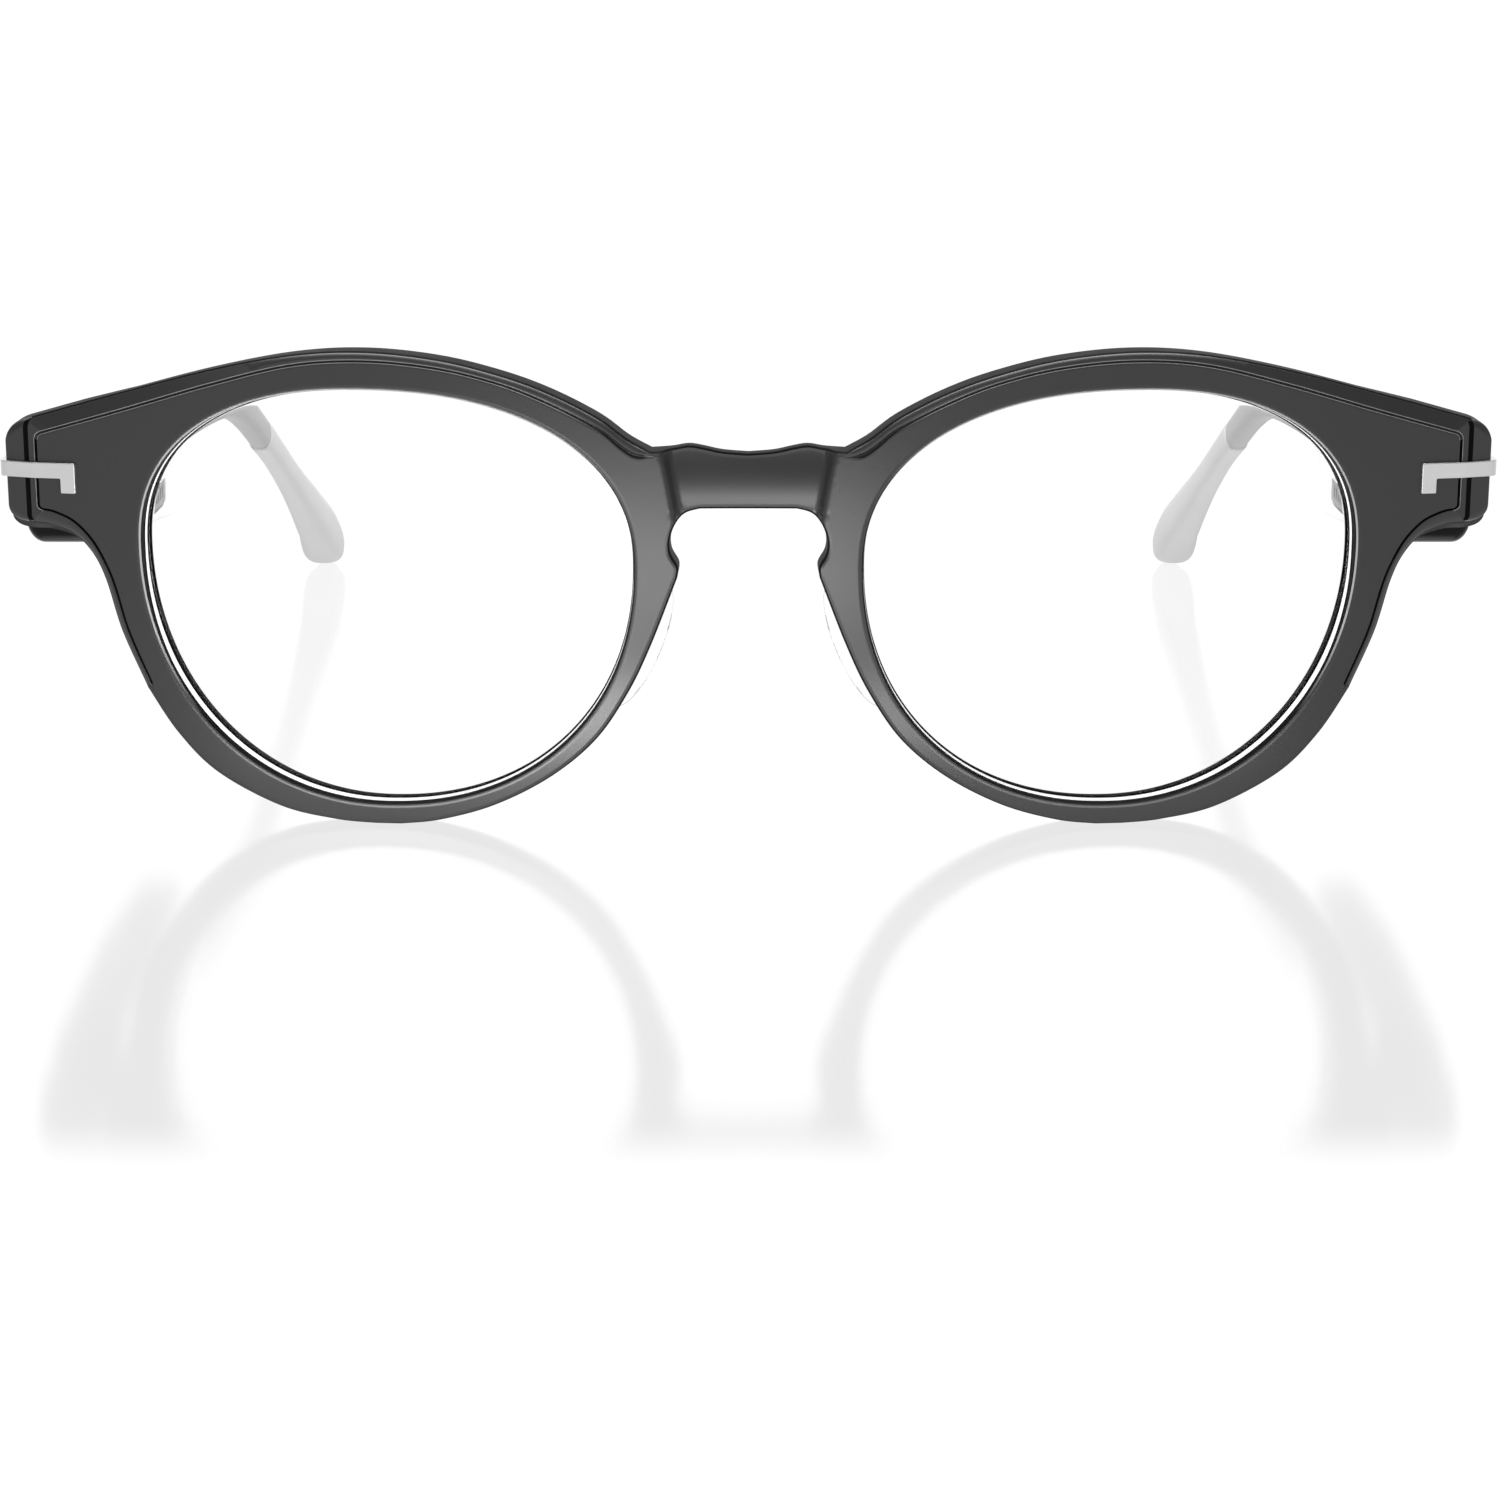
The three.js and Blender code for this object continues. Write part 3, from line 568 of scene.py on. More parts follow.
def front_frame(materials):
    """The front moulding, with its two lens openings."""
    rim, rim_kinds = outer_rim()
    skin = Skin()
    ids = skin.strips(rim, rim_kinds)
    openings = [skin.strips(*opening_loops(side)) for side in SIDES.values()]
    for end, depth, flip in ((0, 0.0, False), (-1, THICKNESS, True)):
        rings = [ids[end], *[loops[end] for loops in openings]]
        outline, *holes = [skin.outline(ring) for ring in rings]
        coarse = grid_inside(outline, holes, 1.1, 0.45)
        coarse = coarse[~in_bridge(coarse, 0.1)]
        fine = grid_inside(outline, holes, 0.32, 0.25)
        fine = fine[in_bridge(fine, -0.1)]
        skin.cap(rings, np.vstack([coarse, fine]), depth, flip)
    obj = new_object("front_moulding", shape_front(skin.points), skin.faces, 1, materials, skin.kinds)
    return even_normals(obj)


def lug(side):
    """The block behind the front's end, which holds the hinge."""
    whole = np.vstack([evenly(edge, count) for count, edge, *_ in outer_stretches()])
    part = whole[whole[:, 0] >= LUG_INNER_X + LUG_CUT]
    top = np.interp(LUG_INNER_X, [61, EDGE_X], [42.2, 39.5])
    ring = np.vstack([[[LUG_INNER_X, top]], part, [[LUG_INNER_X, LUG_CUT_Z]]]) - (0, LUG_DROP)
    profile = [(0.6, LUG_FRONT), (0.02, LUG_FRONT + 0.1), (0.02, LUG_BACK), (0.7, LUG_BACK)]
    loops, _ = softened(inset_loops(ring, profile), [0, 0.4])
    obj = closed_object(f"end_block_{SIDE_NAMES[side]}", loops, side)
    boolean(obj, hinge_notch(side), "DIFFERENCE")
    return even_normals(obj)


def hinge_notch(side):
    reach = NOTCH["half_height"]
    return post("notch", HINGE_X, HINGE_DEPTH, NOTCH["radius"], HINGE_Z - reach, HINGE_Z + reach, side)


# ---- plates and turned pieces ---------------------------------------------------------------
def rounded_outline(corners, steps=8, side_steps=0):
    """A closed ring from corners (u, v, radius), with side_steps points on each straight side."""
    turns = []
    for i, (u, v, radius) in enumerate(corners):
        here = np.array([u, v], float)
        ends = []
        for other in (corners[i - 1], corners[(i + 1) % len(corners)]):
            way = np.array(other[:2], float) - here
            ends.append(here + way / np.linalg.norm(way) * radius)
        turns.append(curve(ends[0], here, ends[1], steps))
    ring = []
    for turn, following in zip(turns, turns[1:] + turns[:1]):
        ring += [turn, np.linspace(turn[-1], following[0], side_steps + 2)[1:-1]]
    return clockwise(np.vstack(ring))


def rounded_rectangle(u0, u1, v0, v1, radius, steps=8):
    return rounded_outline(
        [(u0, v0, radius), (u1, v0, radius), (u1, v1, radius), (u0, v1, radius)], steps)


def centred_rectangle(width, length, radius, steps=8):
    return rounded_rectangle(-width / 2, width / 2, -length / 2, length / 2, radius, steps)


def edge_levels(front, back, radius, back_radius=None, flat=0.25):
    """(inset, depth) of a plate's rim from its front face to its back, rounded at both."""
    back_radius = radius if back_radius is None else back_radius
    turn = np.radians([0, 22.5, 45, 67.5, 90])
    near = [(radius * (1 - math.sin(t)), front + radius * (1 - math.cos(t))) for t in turn]
    far = [(back_radius * (1 - math.sin(t)), back - back_radius * (1 - math.cos(t))) for t in turn]
    return [(radius + flat, front), *near, *far[::-1], (back_radius + flat, back)]


def plate(outline, holes, levels, hole_levels=(), step=0.0):
    """A plate's skin, drawn face on: u to the right, v up and depth away from the viewer."""
    outline = clockwise(outline)
    holes = [clockwise(hole, False) for hole in holes]
    skin = Skin()
    rims = []
    for ring, profile in [(outline, levels), *[(hole, hole_levels) for hole in holes]]:
        rims.append(skin.strips(inset_loops(ring, profile)))
    for end, flip in ((0, False), (-1, True)):
        rings = [rim[end] for rim in rims]
        edge, *gaps = [skin.outline(ring) for ring in rings]
        inside = grid_inside(edge, gaps, step, step * 0.45) if step else np.empty((0, 2))
        skin.cap(rings, inside, levels[end][1], flip)
    return skin


def side_on(points):
    """Turns a face-on drawing so that u is depth and the viewer stands outside, at +x."""
    p = np.array(points, float)
    return np.stack([-p[:, 1], p[:, 0], p[:, 2]], 1)


def side_plate(name, outline, holes, outer_x, inner_x, radius, side, hole_radius=0.12, flat=0.25):
    skin = plate(
        outline, holes, edge_levels(-outer_x, -inner_x, radius, flat=flat),
        edge_levels(-outer_x, -inner_x, hole_radius, flat=0.06))
    return new_object(name, side_on(skin.points), skin.faces, side)


def turned(name, profile, place_ring, side=1, corners=40):
    """A turned piece: profile is (radius, height) from the bottom pole to the top one."""
    skin = Skin()
    t = np.linspace(0, 2 * math.pi, corners, endpoint=False)
    bottom = skin.add([place_ring(0, 0, profile[0][1])])[0]
    rings = skin.strips([
        [place_ring(r * math.cos(a), r * math.sin(a), h) for a in t] for r, h in profile[1:-1]])
    top = skin.add([place_ring(0, 0, profile[-1][1])])[0]
    for i in range(corners):
        j = (i + 1) % corners
        skin.face((bottom, rings[0][j], rings[0][i]))
        skin.face((top, rings[-1][i], rings[-1][j]))
    obj = new_object(name, skin.points, skin.faces, side)
    face_outwards(obj)
    return obj


def upright(x, depth):
    return lambda a, b, h: (x + a, depth + b, h)


def crosswise(depth, z):
    """Turned about a line along x, with its height measured as x."""
    return lambda a, b, h: (h, depth + a, z + b)


def rod(name, spot, x0, x1, radius, side):
    """A plain cylinder along x, at a (depth, z) spot."""
    profile = [(0, x0), (radius, x0), (radius, x1), (0, x1)]
    return turned(name, profile, crosswise(*spot), side)


def block(name, x0, x1, depth0, depth1, z0, z1, side=1, radius=0.0):
    """A box between planes, its edges rounded if radius is given."""
    ring = rounded_rectangle(depth0, depth1, z0, z1, 2 * radius or 0.01, 6 if radius else 2)
    levels = edge_levels(-x1, -x0, radius, flat=0.03) if radius else [(0, -x1), (0, -x0)]
    skin = plate(ring, [], levels)
    return new_object(name, side_on(skin.points), skin.faces, side)


# ---- front pieces ---------------------------------------------------------------------------
LENS = dict(grow=0.5, shoulder=1.3, front=2.1, back=2.9)


def lens(side, materials):
    """The clear lens. Its edge stands forwards as a shoulder in the frame's groove, with a near-white
    ground wall that glows as a painted highlight, and a rim in the dull darker black, as painted shade."""
    face, shoulder, back = LENS["front"], LENS["shoulder"], LENS["back"]
    levels = [(1.1, face), (0.75, face), (0.6, face - 0.02), (0.58, face - 0.3),
              (0.56, shoulder + 0.02), (0.54, shoulder), (0.1, shoulder), (0, shoulder + 0.1),
              (0, back - 0.2), (0.2, back), (0.45, back), (1.1, back)]
    # The ground wall strips glow, a painted highlight; the painted strips take the dull darker black,
    # painted shade.
    clear_part, ground, painted = 0, 1, 2
    strips = [clear_part, clear_part, painted, ground, ground, *[painted] * 5, clear_part]
    skin = plate(aperture(LENS["grow"]), [], levels, step=2.0)
    ring = 4 * QUADRANT_POINTS
    rim = len(strips) * ring
    kinds = [strips[i // ring] if i < rim else clear_part for i in range(len(skin.faces))]
    p = np.array(skin.points)
    p[:, 1] -= lip_rise(p[:, 2]) * np.clip((face - 0.25 - p[:, 1]) / 0.3, 0, 1)
    name = f"lens_blank_{SIDE_NAMES[side]}"
    return new_object(name, wrapped(p), skin.faces, side, materials, kinds)


PAD = dict(half_thickness=1.5, half_width=3.7, half_length=6.8, centre=(10.9, 8.0, 17.0))
PAD_TURNS = [(2, -0.5), (1, -0.42)]      # about z, then about y, to lie along the nose


def nose_pad(side):
    """A soft almond-shaped pad."""
    rows = 32
    leans = [math.pi * k / rows for k in range(rows + 1)]
    profile = [(math.sin(lean) ** 0.85, -PAD["half_length"] * math.cos(lean)) for lean in leans]

    def placed(a, b, h):
        p = np.array([[PAD["half_thickness"] * a, PAD["half_width"] * b, h]])
        for axis, angle in PAD_TURNS:
            p = turn_about(p, axis, angle)
        return p[0] + PAD["centre"]

    return turned(f"nose_cushion_{SIDE_NAMES[side]}", profile, placed, side, 48)


def turn_about(points, axis, angle):
    """Rotates about x, y or z (0, 1 or 2) by the right-hand rule."""
    c, s = math.cos(angle), math.sin(angle)
    a, b = [(1, 2), (2, 0), (0, 1)][axis]
    out = points.copy()
    out[:, a] = points[:, a] * c - points[:, b] * s
    out[:, b] = points[:, a] * s + points[:, b] * c
    return out


TRIM = dict(inner_x=65.6, top=35.4, bar=1.55, leg=1.5, leg_bottom=32.4, proud=0.4, under=0.5,
            side_proud=0.25, corner=0.12)
FACET_BACK = 7.7


def trim_path():
    """The line of the trim in plan: across the face, over the facet and along the side."""
    corner = np.array([EDGE_X, sag(EDGE_X) + 0.15])
    rear = np.array([SIDE_X, FACET_BACK])
    face = [[x, float(sag(x))] for x in np.linspace(TRIM["inner_x"], EDGE_X - 0.7, 8)]
    to_rear = (rear - corner) / np.linalg.norm(rear - corner)
    line = np.vstack([
        face, curve(face[-1], corner, corner + to_rear * 0.6, 8),
        curve(rear - to_rear * 0.6, rear, rear + (0, 0.7), 8), [[SIDE_X, LUG_BACK]]])
    return np.vstack([evenly(line, 120), line[-1:]])


def corner_trim(side):
    """A raised metal band round the outer front corner, with a short leg down at its inner end."""
    path = trim_path()
    ahead = np.gradient(path, axis=0)
    ahead /= np.linalg.norm(ahead, axis=1)[:, None]
    outwards = np.stack([ahead[:, 1], -ahead[:, 0]], 1)
    run = np.concatenate([[0], np.cumsum(np.linalg.norm(np.diff(path, axis=0), axis=1))])
    t = TRIM
    end, low = run[-1], t["top"] - t["bar"]
    corners = [(0, t["top"]), (end, t["top"]), (end, low), (t["leg"], low),
               (t["leg"], t["leg_bottom"]), (0, t["leg_bottom"])]
    ring = evenly_round(rounded_outline([(u, v, t["corner"]) for u, v in corners]), 300)
    skin = plate(ring, [], edge_levels(-t["proud"], t["under"], 0.08, flat=0.04), step=0.3)
    p = np.array(skin.points)
    along = p[:, 0]
    spot = np.stack([np.interp(along, run, path[:, k]) for k in (0, 1)], 1)
    spot += ahead[0] * np.minimum(along, 0)[:, None]
    spot += ahead[-1] * np.maximum(along - end, 0)[:, None]
    facing = np.stack([np.interp(along, run, outwards[:, k]) for k in (0, 1)], 1)
    spot += facing * -p[:, 1:2]
    spot[:, 0] += t["side_proud"] * np.clip((spot[:, 0] - EDGE_X) / (SIDE_X - EDGE_X), 0, 1)
    name = f"corner_band_{SIDE_NAMES[side]}"
    return new_object(name, np.column_stack([spot, p[:, 2]]), skin.faces, side)


# ---- hinges ---------------------------------------------------------------------------------
KNUCKLE = dict(radius=1.5, bore=0.9, height=1.8, gap=0.3)
LEAF_HALF_HEIGHT = 3.0


def knuckle(level, side):
    z = HINGE_Z + level * (KNUCKLE["height"] + KNUCKLE["gap"])
    half, r, e = KNUCKLE["height"] / 2, KNUCKLE["radius"], 0.12
    profile = [(0, z - half), (r - e, z - half), (r, z - half + e), (r, z + half - e),
               (r - e, z + half), (0, z + half)]
    return turned("knuckle", profile, upright(HINGE_X, HINGE_DEPTH), side)


def hinge_leaf(name, depth0, depth1, levels, side):
    """A hinge plate with its knuckles, and gaps for the other leaf's."""
    x0 = HINGE_X - 0.8
    ring = rounded_rectangle(
        depth0, depth1, HINGE_Z - LEAF_HALF_HEIGHT, HINGE_Z + LEAF_HALF_HEIGHT, 0.6)
    leaf = side_plate(name, ring, [], x0 + 1, x0, 0.12, side)
    half = KNUCKLE["height"] / 2
    for level in (-1, 0, 1):
        z = HINGE_Z + level * (KNUCKLE["height"] + KNUCKLE["gap"])
        if level in levels:
            boolean(leaf, knuckle(level, side), "UNION")
        else:
            reach = half + KNUCKLE["gap"] + (0.3 if level else 0)
            gap = post("gap", HINGE_X, HINGE_DEPTH, NOTCH["radius"], z - reach, z + reach, side)
            boolean(leaf, gap, "DIFFERENCE")
    bore = post("bore", HINGE_X, HINGE_DEPTH, KNUCKLE["bore"], HINGE_Z - 6, HINGE_Z + 6, side)
    boolean(leaf, bore, "DIFFERENCE")
    return even_normals(leaf)


def hinge_screw(side):
    """The hinge's pin: a slotted head above the knuckles and a plain shank through them."""
    head = HINGE_Z + LEAF_HALF_HEIGHT + 0.35
    profile = [(0, HINGE_Z - 3.4), (0.5, HINGE_Z - 3.4), (0.6, HINGE_Z - 3.3), (0.6, head),
               (1.22, head), (1.3, head + 0.08), (1.3, head + 0.45), (1.18, head + 0.62),
               (0.9, head + 0.74), (0.45, head + 0.8), (0, head + 0.8)]
    screw = turned(f"pivot_screw_{SIDE_NAMES[side]}", profile, upright(HINGE_X, HINGE_DEPTH), side)
    slot = block("slot", HINGE_X - 2, HINGE_X + 2, HINGE_DEPTH - 0.2, HINGE_DEPTH + 0.2,
                 head + 0.45, head + 2, side)
    boolean(screw, slot, "DIFFERENCE")
    return even_normals(screw)


# ---- temples --------------------------------------------------------------------------------
HOUSING = dict(front=13.3, back=60.0, outer_x=72.5, inner_x=65.9, wall=1.0, front_top=38.0,
               back_top=35.0, front_bottom=26.0, back_bottom=21.2, taper_start=40.0, taper=2.5)
COVER = dict(outer_x=65.6, inner_x=64.8)
SCREW_SPOTS = [(16.6, 28.8), (41.2, 27.3)]         # depth and z
CONTACT_SPOTS = [(45.6, 33.2), (49.2, 33.2)]
BOSS = (66.2, 71.6, 1.3)                           # from x to x, radius
BOSS_BORE = (64.9, 69.4, 0.85)
ARM_SLOT = (65.3, 68.4, 57, 61, 30.7, 34.2)        # from and to in x, depth and z
ARM_TENON = (66.3, 68.1, 55.2, 61, 31, 33.9)
GRILLE = dict(front=43.2, back=51.2, bottom=23.8, top=26.4)
MIC_DEPTH = 20.6
SLOPE = math.atan2(HOUSING["front_bottom"] - HOUSING["back_bottom"], HOUSING["back"] - HOUSING["front"])


def underside_z(depth):
    """The height of the housing's lower edge."""
    return HOUSING["front_bottom"] - (depth - HOUSING["front"]) * math.tan(SLOPE)


def housing_outline(inset=0.0, low_inset=None):
    """The temple housing from outside, drawn in by inset, and by low_inset along its lower edge."""
    h = HOUSING
    low = inset if low_inset is None else low_inset
    return rounded_outline([
        (h["front"] + inset, h["front_bottom"] + low, max(2.5 - inset, 0.4)),
        (h["back"] - inset, h["back_bottom"] + low, 6 - inset),
        (h["back"] - inset, h["back_top"] - inset, max(2 - inset, 0.4)),
        (h["front"] + inset, h["front_top"] - inset, max(1 - inset, 0.3))], 14, 20)


def temple_shell(side):
    """The black outer moulding: rounded outside, broadly along its lower edge, hollow inside."""
    h = HOUSING
    face, rim, floor = -h["outer_x"], -h["inner_x"], -h["outer_x"] + h["wall"]
    loops = [at_depth(housing_outline(1.2, 2.3), face)]
    for t in np.radians([0, 15, 30, 45, 60, 75, 90]):
        share = 1 - math.sin(t)
        ring = housing_outline(0.8 * share, 1.9 * share)
        drop = np.where(ring[:, 1] < underside_z(ring[:, 0]) + 2.2, 1.6, 0.8)
        loops.append(at_depth(ring, face + drop * (1 - math.cos(t))))
    inner = [(0, rim - 0.2), (0.06, rim - 0.06), (0.2, rim), (0.8, rim), (0.94, rim - 0.06),
             (1, rim - 0.2), (1, floor + 0.4), (1.12, floor + 0.12), (1.4, floor), (1.8, floor)]
    loops += [at_depth(housing_outline(inset), depth) for inset, depth in inner]
    skin = Skin()
    ids = skin.strips(loops)
    for end, flip in ((0, False), (-1, True)):
        grid = grid_inside(skin.outline(ids[end]), [], 2.0, 0.9)
        skin.cap([ids[end]], grid, loops[end][0, 1], flip)
    p = tapered(side_on(skin.points))
    shell = new_object(f"temple_moulding_{SIDE_NAMES[side]}", p, skin.faces, side)
    for spot in SCREW_SPOTS:
        boolean(shell, rod("boss", spot, *BOSS, side), "UNION")
        boolean(shell, rod("bore", spot, *BOSS_BORE, side), "DIFFERENCE")
    boolean(shell, block("slot", *ARM_SLOT, side), "DIFFERENCE")
    boolean(shell, hinge_notch(side), "DIFFERENCE")
    z = underside_z(MIC_DEPTH)
    boolean(shell, post("hole", CONTROL_X, MIC_DEPTH, 0.4, z - 1, z + 1.5, side, 24), "DIFFERENCE")
    if side < 0:
        for control in (BUTTON, ROCKER):
            boolean(shell, control_window(control), "DIFFERENCE")
    return even_normals(shell)


def tapered(points):
    """Narrows the housing towards the arm, from its outer face."""
    h = HOUSING
    p = np.array(points, float)
    t = np.clip((p[:, 1] - h["taper_start"]) / (h["back"] + 1 - h["taper_start"]), 0, 1)
    share = (p[:, 0] - h["inner_x"]) / (h["outer_x"] - h["inner_x"])
    p[:, 0] -= h["taper"] * t**1.3 * share
    return p


def temple_cover(side):
    """The pale inner cover, with holes for its screws, the charging contacts and the grille."""
    holes = [around(depth, z, 1.0) for depth, z in SCREW_SPOTS]
    holes += [around(depth, z, 1.25) for depth, z in CONTACT_SPOTS]
    g = GRILLE
    holes.append(rounded_rectangle(g["front"] - 0.25, g["back"] + 0.25, g["bottom"] - 0.25,
                                   g["top"] + 0.25, 1.0))
    name = f"temple_lid_{SIDE_NAMES[side]}"
    cover = side_plate(name, housing_outline(), holes, COVER["outer_x"], COVER["inner_x"], 0.2,
                       side, flat=0.08)
    boolean(cover, hinge_notch(side), "DIFFERENCE")
    return even_normals(cover)


def speaker_grille(side):
    """A dark plate with upright slots."""
    g = GRILLE
    ring = rounded_rectangle(g["front"], g["back"], g["bottom"], g["top"], 0.8)
    middles = [(g["front"] + g["back"]) / 2 + i * 1.32 for i in (-2, -1, 0, 1, 2)]
    slots = [rounded_rectangle(m - 0.3, m + 0.3, g["bottom"] + 0.6, g["top"] - 0.6, 0.29, 6)
             for m in middles]
    name = f"sound_grille_{SIDE_NAMES[side]}"
    return even_normals(side_plate(name, ring, slots, 65.5, 64.9, 0.12, side, hole_radius=0.1))


def cover_screw(number, side):
    """A small threaded screw with a hexagonal socket."""
    depth, z = SCREW_SPOTS[number - 1]
    x = COVER["inner_x"] - 0.9
    profile = [(0, x), (0.7, x), (1.0, x + 0.1), (1.1, x + 0.28), (1.1, x + 0.6), (0.55, x + 0.6)]
    profile += [(0.47 if i % 2 else 0.55, x + 0.8 + 0.14 * i) for i in range(21)]
    profile += [(0.4, x + 3.9), (0, x + 4.3)]
    screw = turned(f"lid_screw_{SIDE_NAMES[side]}_{number}", profile, crosswise(depth, z), side)
    skin = plate(around(depth, z, 0.5, 6), [], [(0, -x - 0.35), (0, -x + 1)])
    boolean(screw, new_object("socket", side_on(skin.points), skin.faces, side), "DIFFERENCE")
    return even_normals(screw)


def charging_contact(number, side):
    """A domed gold pin."""
    depth, z = CONTACT_SPOTS[number - 1]
    x = COVER["inner_x"] - 0.1
    profile = [(0, x), (0.45, x + 0.02), (0.8, x + 0.1), (0.95, x + 0.24), (1, x + 0.4),
               (1, x + 1.2), (0.5, x + 1.2), (0.5, x + 2.4), (0, x + 2.4)]
    name = f"charge_pin_{SIDE_NAMES[side]}_{number}"
    return even_normals(turned(name, profile, crosswise(depth, z), side))


# ---- arms and ear tips ----------------------------------------------------------------------
# Stations: depth, height of the middle, thickness, section height, downward pitch in degrees.
ARM = [(60.25, 32.8, 3.4, 5, 5), (72, 31.9, 3.2, 4.6, 6), (83, 30.8, 3.1, 4.3, 8),
       (91, 29.3, 3.1, 4.2, 15), (97, 27, 2.9, 4.1, 25), (103.6, 23.6, 2.8, 4, 28)]
TIP = [(103.7, 23.5, 3, 4.3, 28), (110, 20.1, 2.8, 4, 30), (118, 15.3, 3.1, 4.3, 31),
       (125, 11, 3.9, 5.4, 32), (131, 7.2, 4.8, 6.4, 34), (136.4, 4.1, 5.4, 6.8, 38),
       (140.5, 2.2, 5, 5.2, 44), (142.2, 1.6, 3.4, 3.9, 50)]
ARM_START_X = 66.9        # where it leaves the housing
ARM_LEAN = 0.118          # how far it leans in for each millimetre back
LEAN_END = 131.0
SECTION_CORNERS = 48


def arm_x(depth):
    """The middle of the arm, which leans in towards its end."""
    return ARM_START_X - ARM_LEAN * (min(depth, LEAN_END) - HOUSING["back"])


def section(station, scale=1.0, ahead=0.0):
    """A squarish oval across the arm; ahead moves it along the arm."""
    depth, z, thickness, height, pitch = station
    tilt = math.radians(pitch)
    t = np.linspace(0, 2 * math.pi, SECTION_CORNERS, endpoint=False)
    across = scale * thickness / 2 * np.sign(np.cos(t)) * np.abs(np.cos(t)) ** 0.72
    up = scale * height / 2 * np.sign(np.sin(t)) * np.abs(np.sin(t)) ** 0.72
    depth = depth + ahead * math.cos(tilt)
    z = z - ahead * math.sin(tilt)
    return np.stack([arm_x(depth) + across, depth + up * math.sin(tilt), z + up * math.cos(tilt)], 1)


def rounded_run(stations, start_round, end_round):
    """Sections through the stations, closed with rounded ends."""
    smooth = spline(stations, 10)
    first = [section(smooth[0], 1 - 2 * start_round * (1 - math.sin(t)) / smooth[0][2],
                     start_round * (1 - math.cos(t))) for t in np.radians([0, 30, 60, 90])]
    middle = [section(s) for s in smooth[1:-1]]
    last = [section(smooth[-1], math.cos(t), end_round * math.sin(t))
            for t in np.radians([0, 20, 40, 58, 74, 85])]
    return [*first, *middle, *last]


def temple_arm(side):
    arm = closed_object(f"arm_moulding_{SIDE_NAMES[side]}", rounded_run(ARM, 0.3, 0.02), side)
    boolean(arm, block("tenon", *ARM_TENON, side, 0.2), "UNION")
    return even_normals(arm)


def ear_tip(side):
    """The soft sleeve on the arm's end, flat where it rests on the floor."""
    rings = [np.maximum(ring, (-np.inf, -np.inf, 0)) for ring in rounded_run(TIP, 0.35, 1.4)]
    return even_normals(closed_object(f"ear_sock_{SIDE_NAMES[side]}", rings, side))


# ---- controls in the right temple's underside ------------------------------------------------
CONTROL_X = 69.0
BUTTON = dict(depth=25.6, length=5.0)
ROCKER = dict(depth=35.4, length=10.0)
CAP_WIDTH = 2.8


def on_underside(points, depth):
    """From a drawing seen from below (u across, v forwards, depth into the housing)."""
    p = np.array(points, float)
    local = np.stack([p[:, 0], -p[:, 2], p[:, 1]], 1)
    local = turn_about(local, 0, -SLOPE)
    return local + (CONTROL_X, depth, underside_z(depth))


def control_window(control):
    """The cutter for a control's opening, with a bevelled mouth."""
    ring = centred_rectangle(CAP_WIDTH + 0.7, control["length"] + 0.7, 1.5)
    skin = plate(ring, [], [(-0.25, -2), (-0.25, -0.12), (0, 0.12), (0, 1.2)])
    tool = new_object("window", on_underside(skin.points, control["depth"]), skin.faces, -1)
    face_outwards(tool)
    return tool


def control_cap(name, control, dip=0.0):
    """A button cap with its hidden flange; dip hollows the middle of a rocker."""
    length = control["length"]
    ring = evenly_round(centred_rectangle(CAP_WIDTH, length, 1.35, 12), 120)
    skin = plate(ring, [], edge_levels(-0.5, 1.6, 0.3, 0.05), step=0.45)
    p = np.array(skin.points)
    outer = np.clip(1 - (p[:, 1] + 0.5) / 0.8, 0, 1)
    p[:, 1] += outer * dip * np.clip(1 - (2 * p[:, 2] / length) ** 2, 0, 1)
    cap = new_object(name, on_underside(p, control["depth"]), skin.faces, -1)
    face_outwards(cap)
    flange = plate(centred_rectangle(CAP_WIDTH + 1.2, length + 1.6, 0.5), [],
                   edge_levels(1.35, 1.9, 0.1, flat=0.05))
    tool = new_object("flange", on_underside(flange.points, control["depth"]), flange.faces, -1)
    face_outwards(tool)
    boolean(cap, tool, "UNION")
    return even_normals(cap)


# ---- materials ------------------------------------------------------------------------------
def material(name, colour, roughness, **inputs):
    """A Principled material, for a function to add its detail to."""
    m = bpy.data.materials.new(name)
    m.use_nodes = True
    shader = m.node_tree.nodes["Principled BSDF"]
    shader.inputs["Base Color"].default_value = (*colour, 1)
    shader.inputs["Roughness"].default_value = roughness
    for key, value in inputs.items():
        shader.inputs[key.replace("_", " ").title().replace("Ior", "IOR")].default_value = value
    return m


def shader_of(m):
    return m.node_tree.nodes["Principled BSDF"]


def noise(m, scale, detail=3.0, stretch=(1, 1, 1)):
    """3D noise on the piece's own coordinates; scale is features per metre."""
    tree = m.node_tree
    where = tree.nodes.new("ShaderNodeTexCoord")
    mapping = tree.nodes.new("ShaderNodeMapping")
    mapping.inputs["Scale"].default_value = stretch
    texture = tree.nodes.new("ShaderNodeTexNoise")
    texture.inputs["Scale"].default_value = scale
    texture.inputs["Detail"].default_value = detail
    tree.links.new(where.outputs["Object"], mapping.inputs["Vector"])
    tree.links.new(mapping.outputs["Vector"], texture.inputs["Vector"])
    return texture.outputs["Fac"]


def place_sockets(tree, kind="Object"):
    """The x, y and z of a point, or of a direction in the world."""
    where = tree.nodes.new("ShaderNodeTexCoord")
    parts = tree.nodes.new("ShaderNodeSeparateXYZ")
    tree.links.new(where.outputs[kind], parts.inputs["Vector"])
    return parts.outputs


def remap(tree, value, span, result=(0, 1), shape="SMOOTHSTEP"):
    """Takes a value's span to the result, and holds it there beyond either end."""
    node = tree.nodes.new("ShaderNodeMapRange")
    node.interpolation_type = shape
    node.inputs["From Min"].default_value, node.inputs["From Max"].default_value = span
    node.inputs["To Min"].default_value, node.inputs["To Max"].default_value = result
    tree.links.new(value, node.inputs["Value"])
    return node.outputs["Result"]


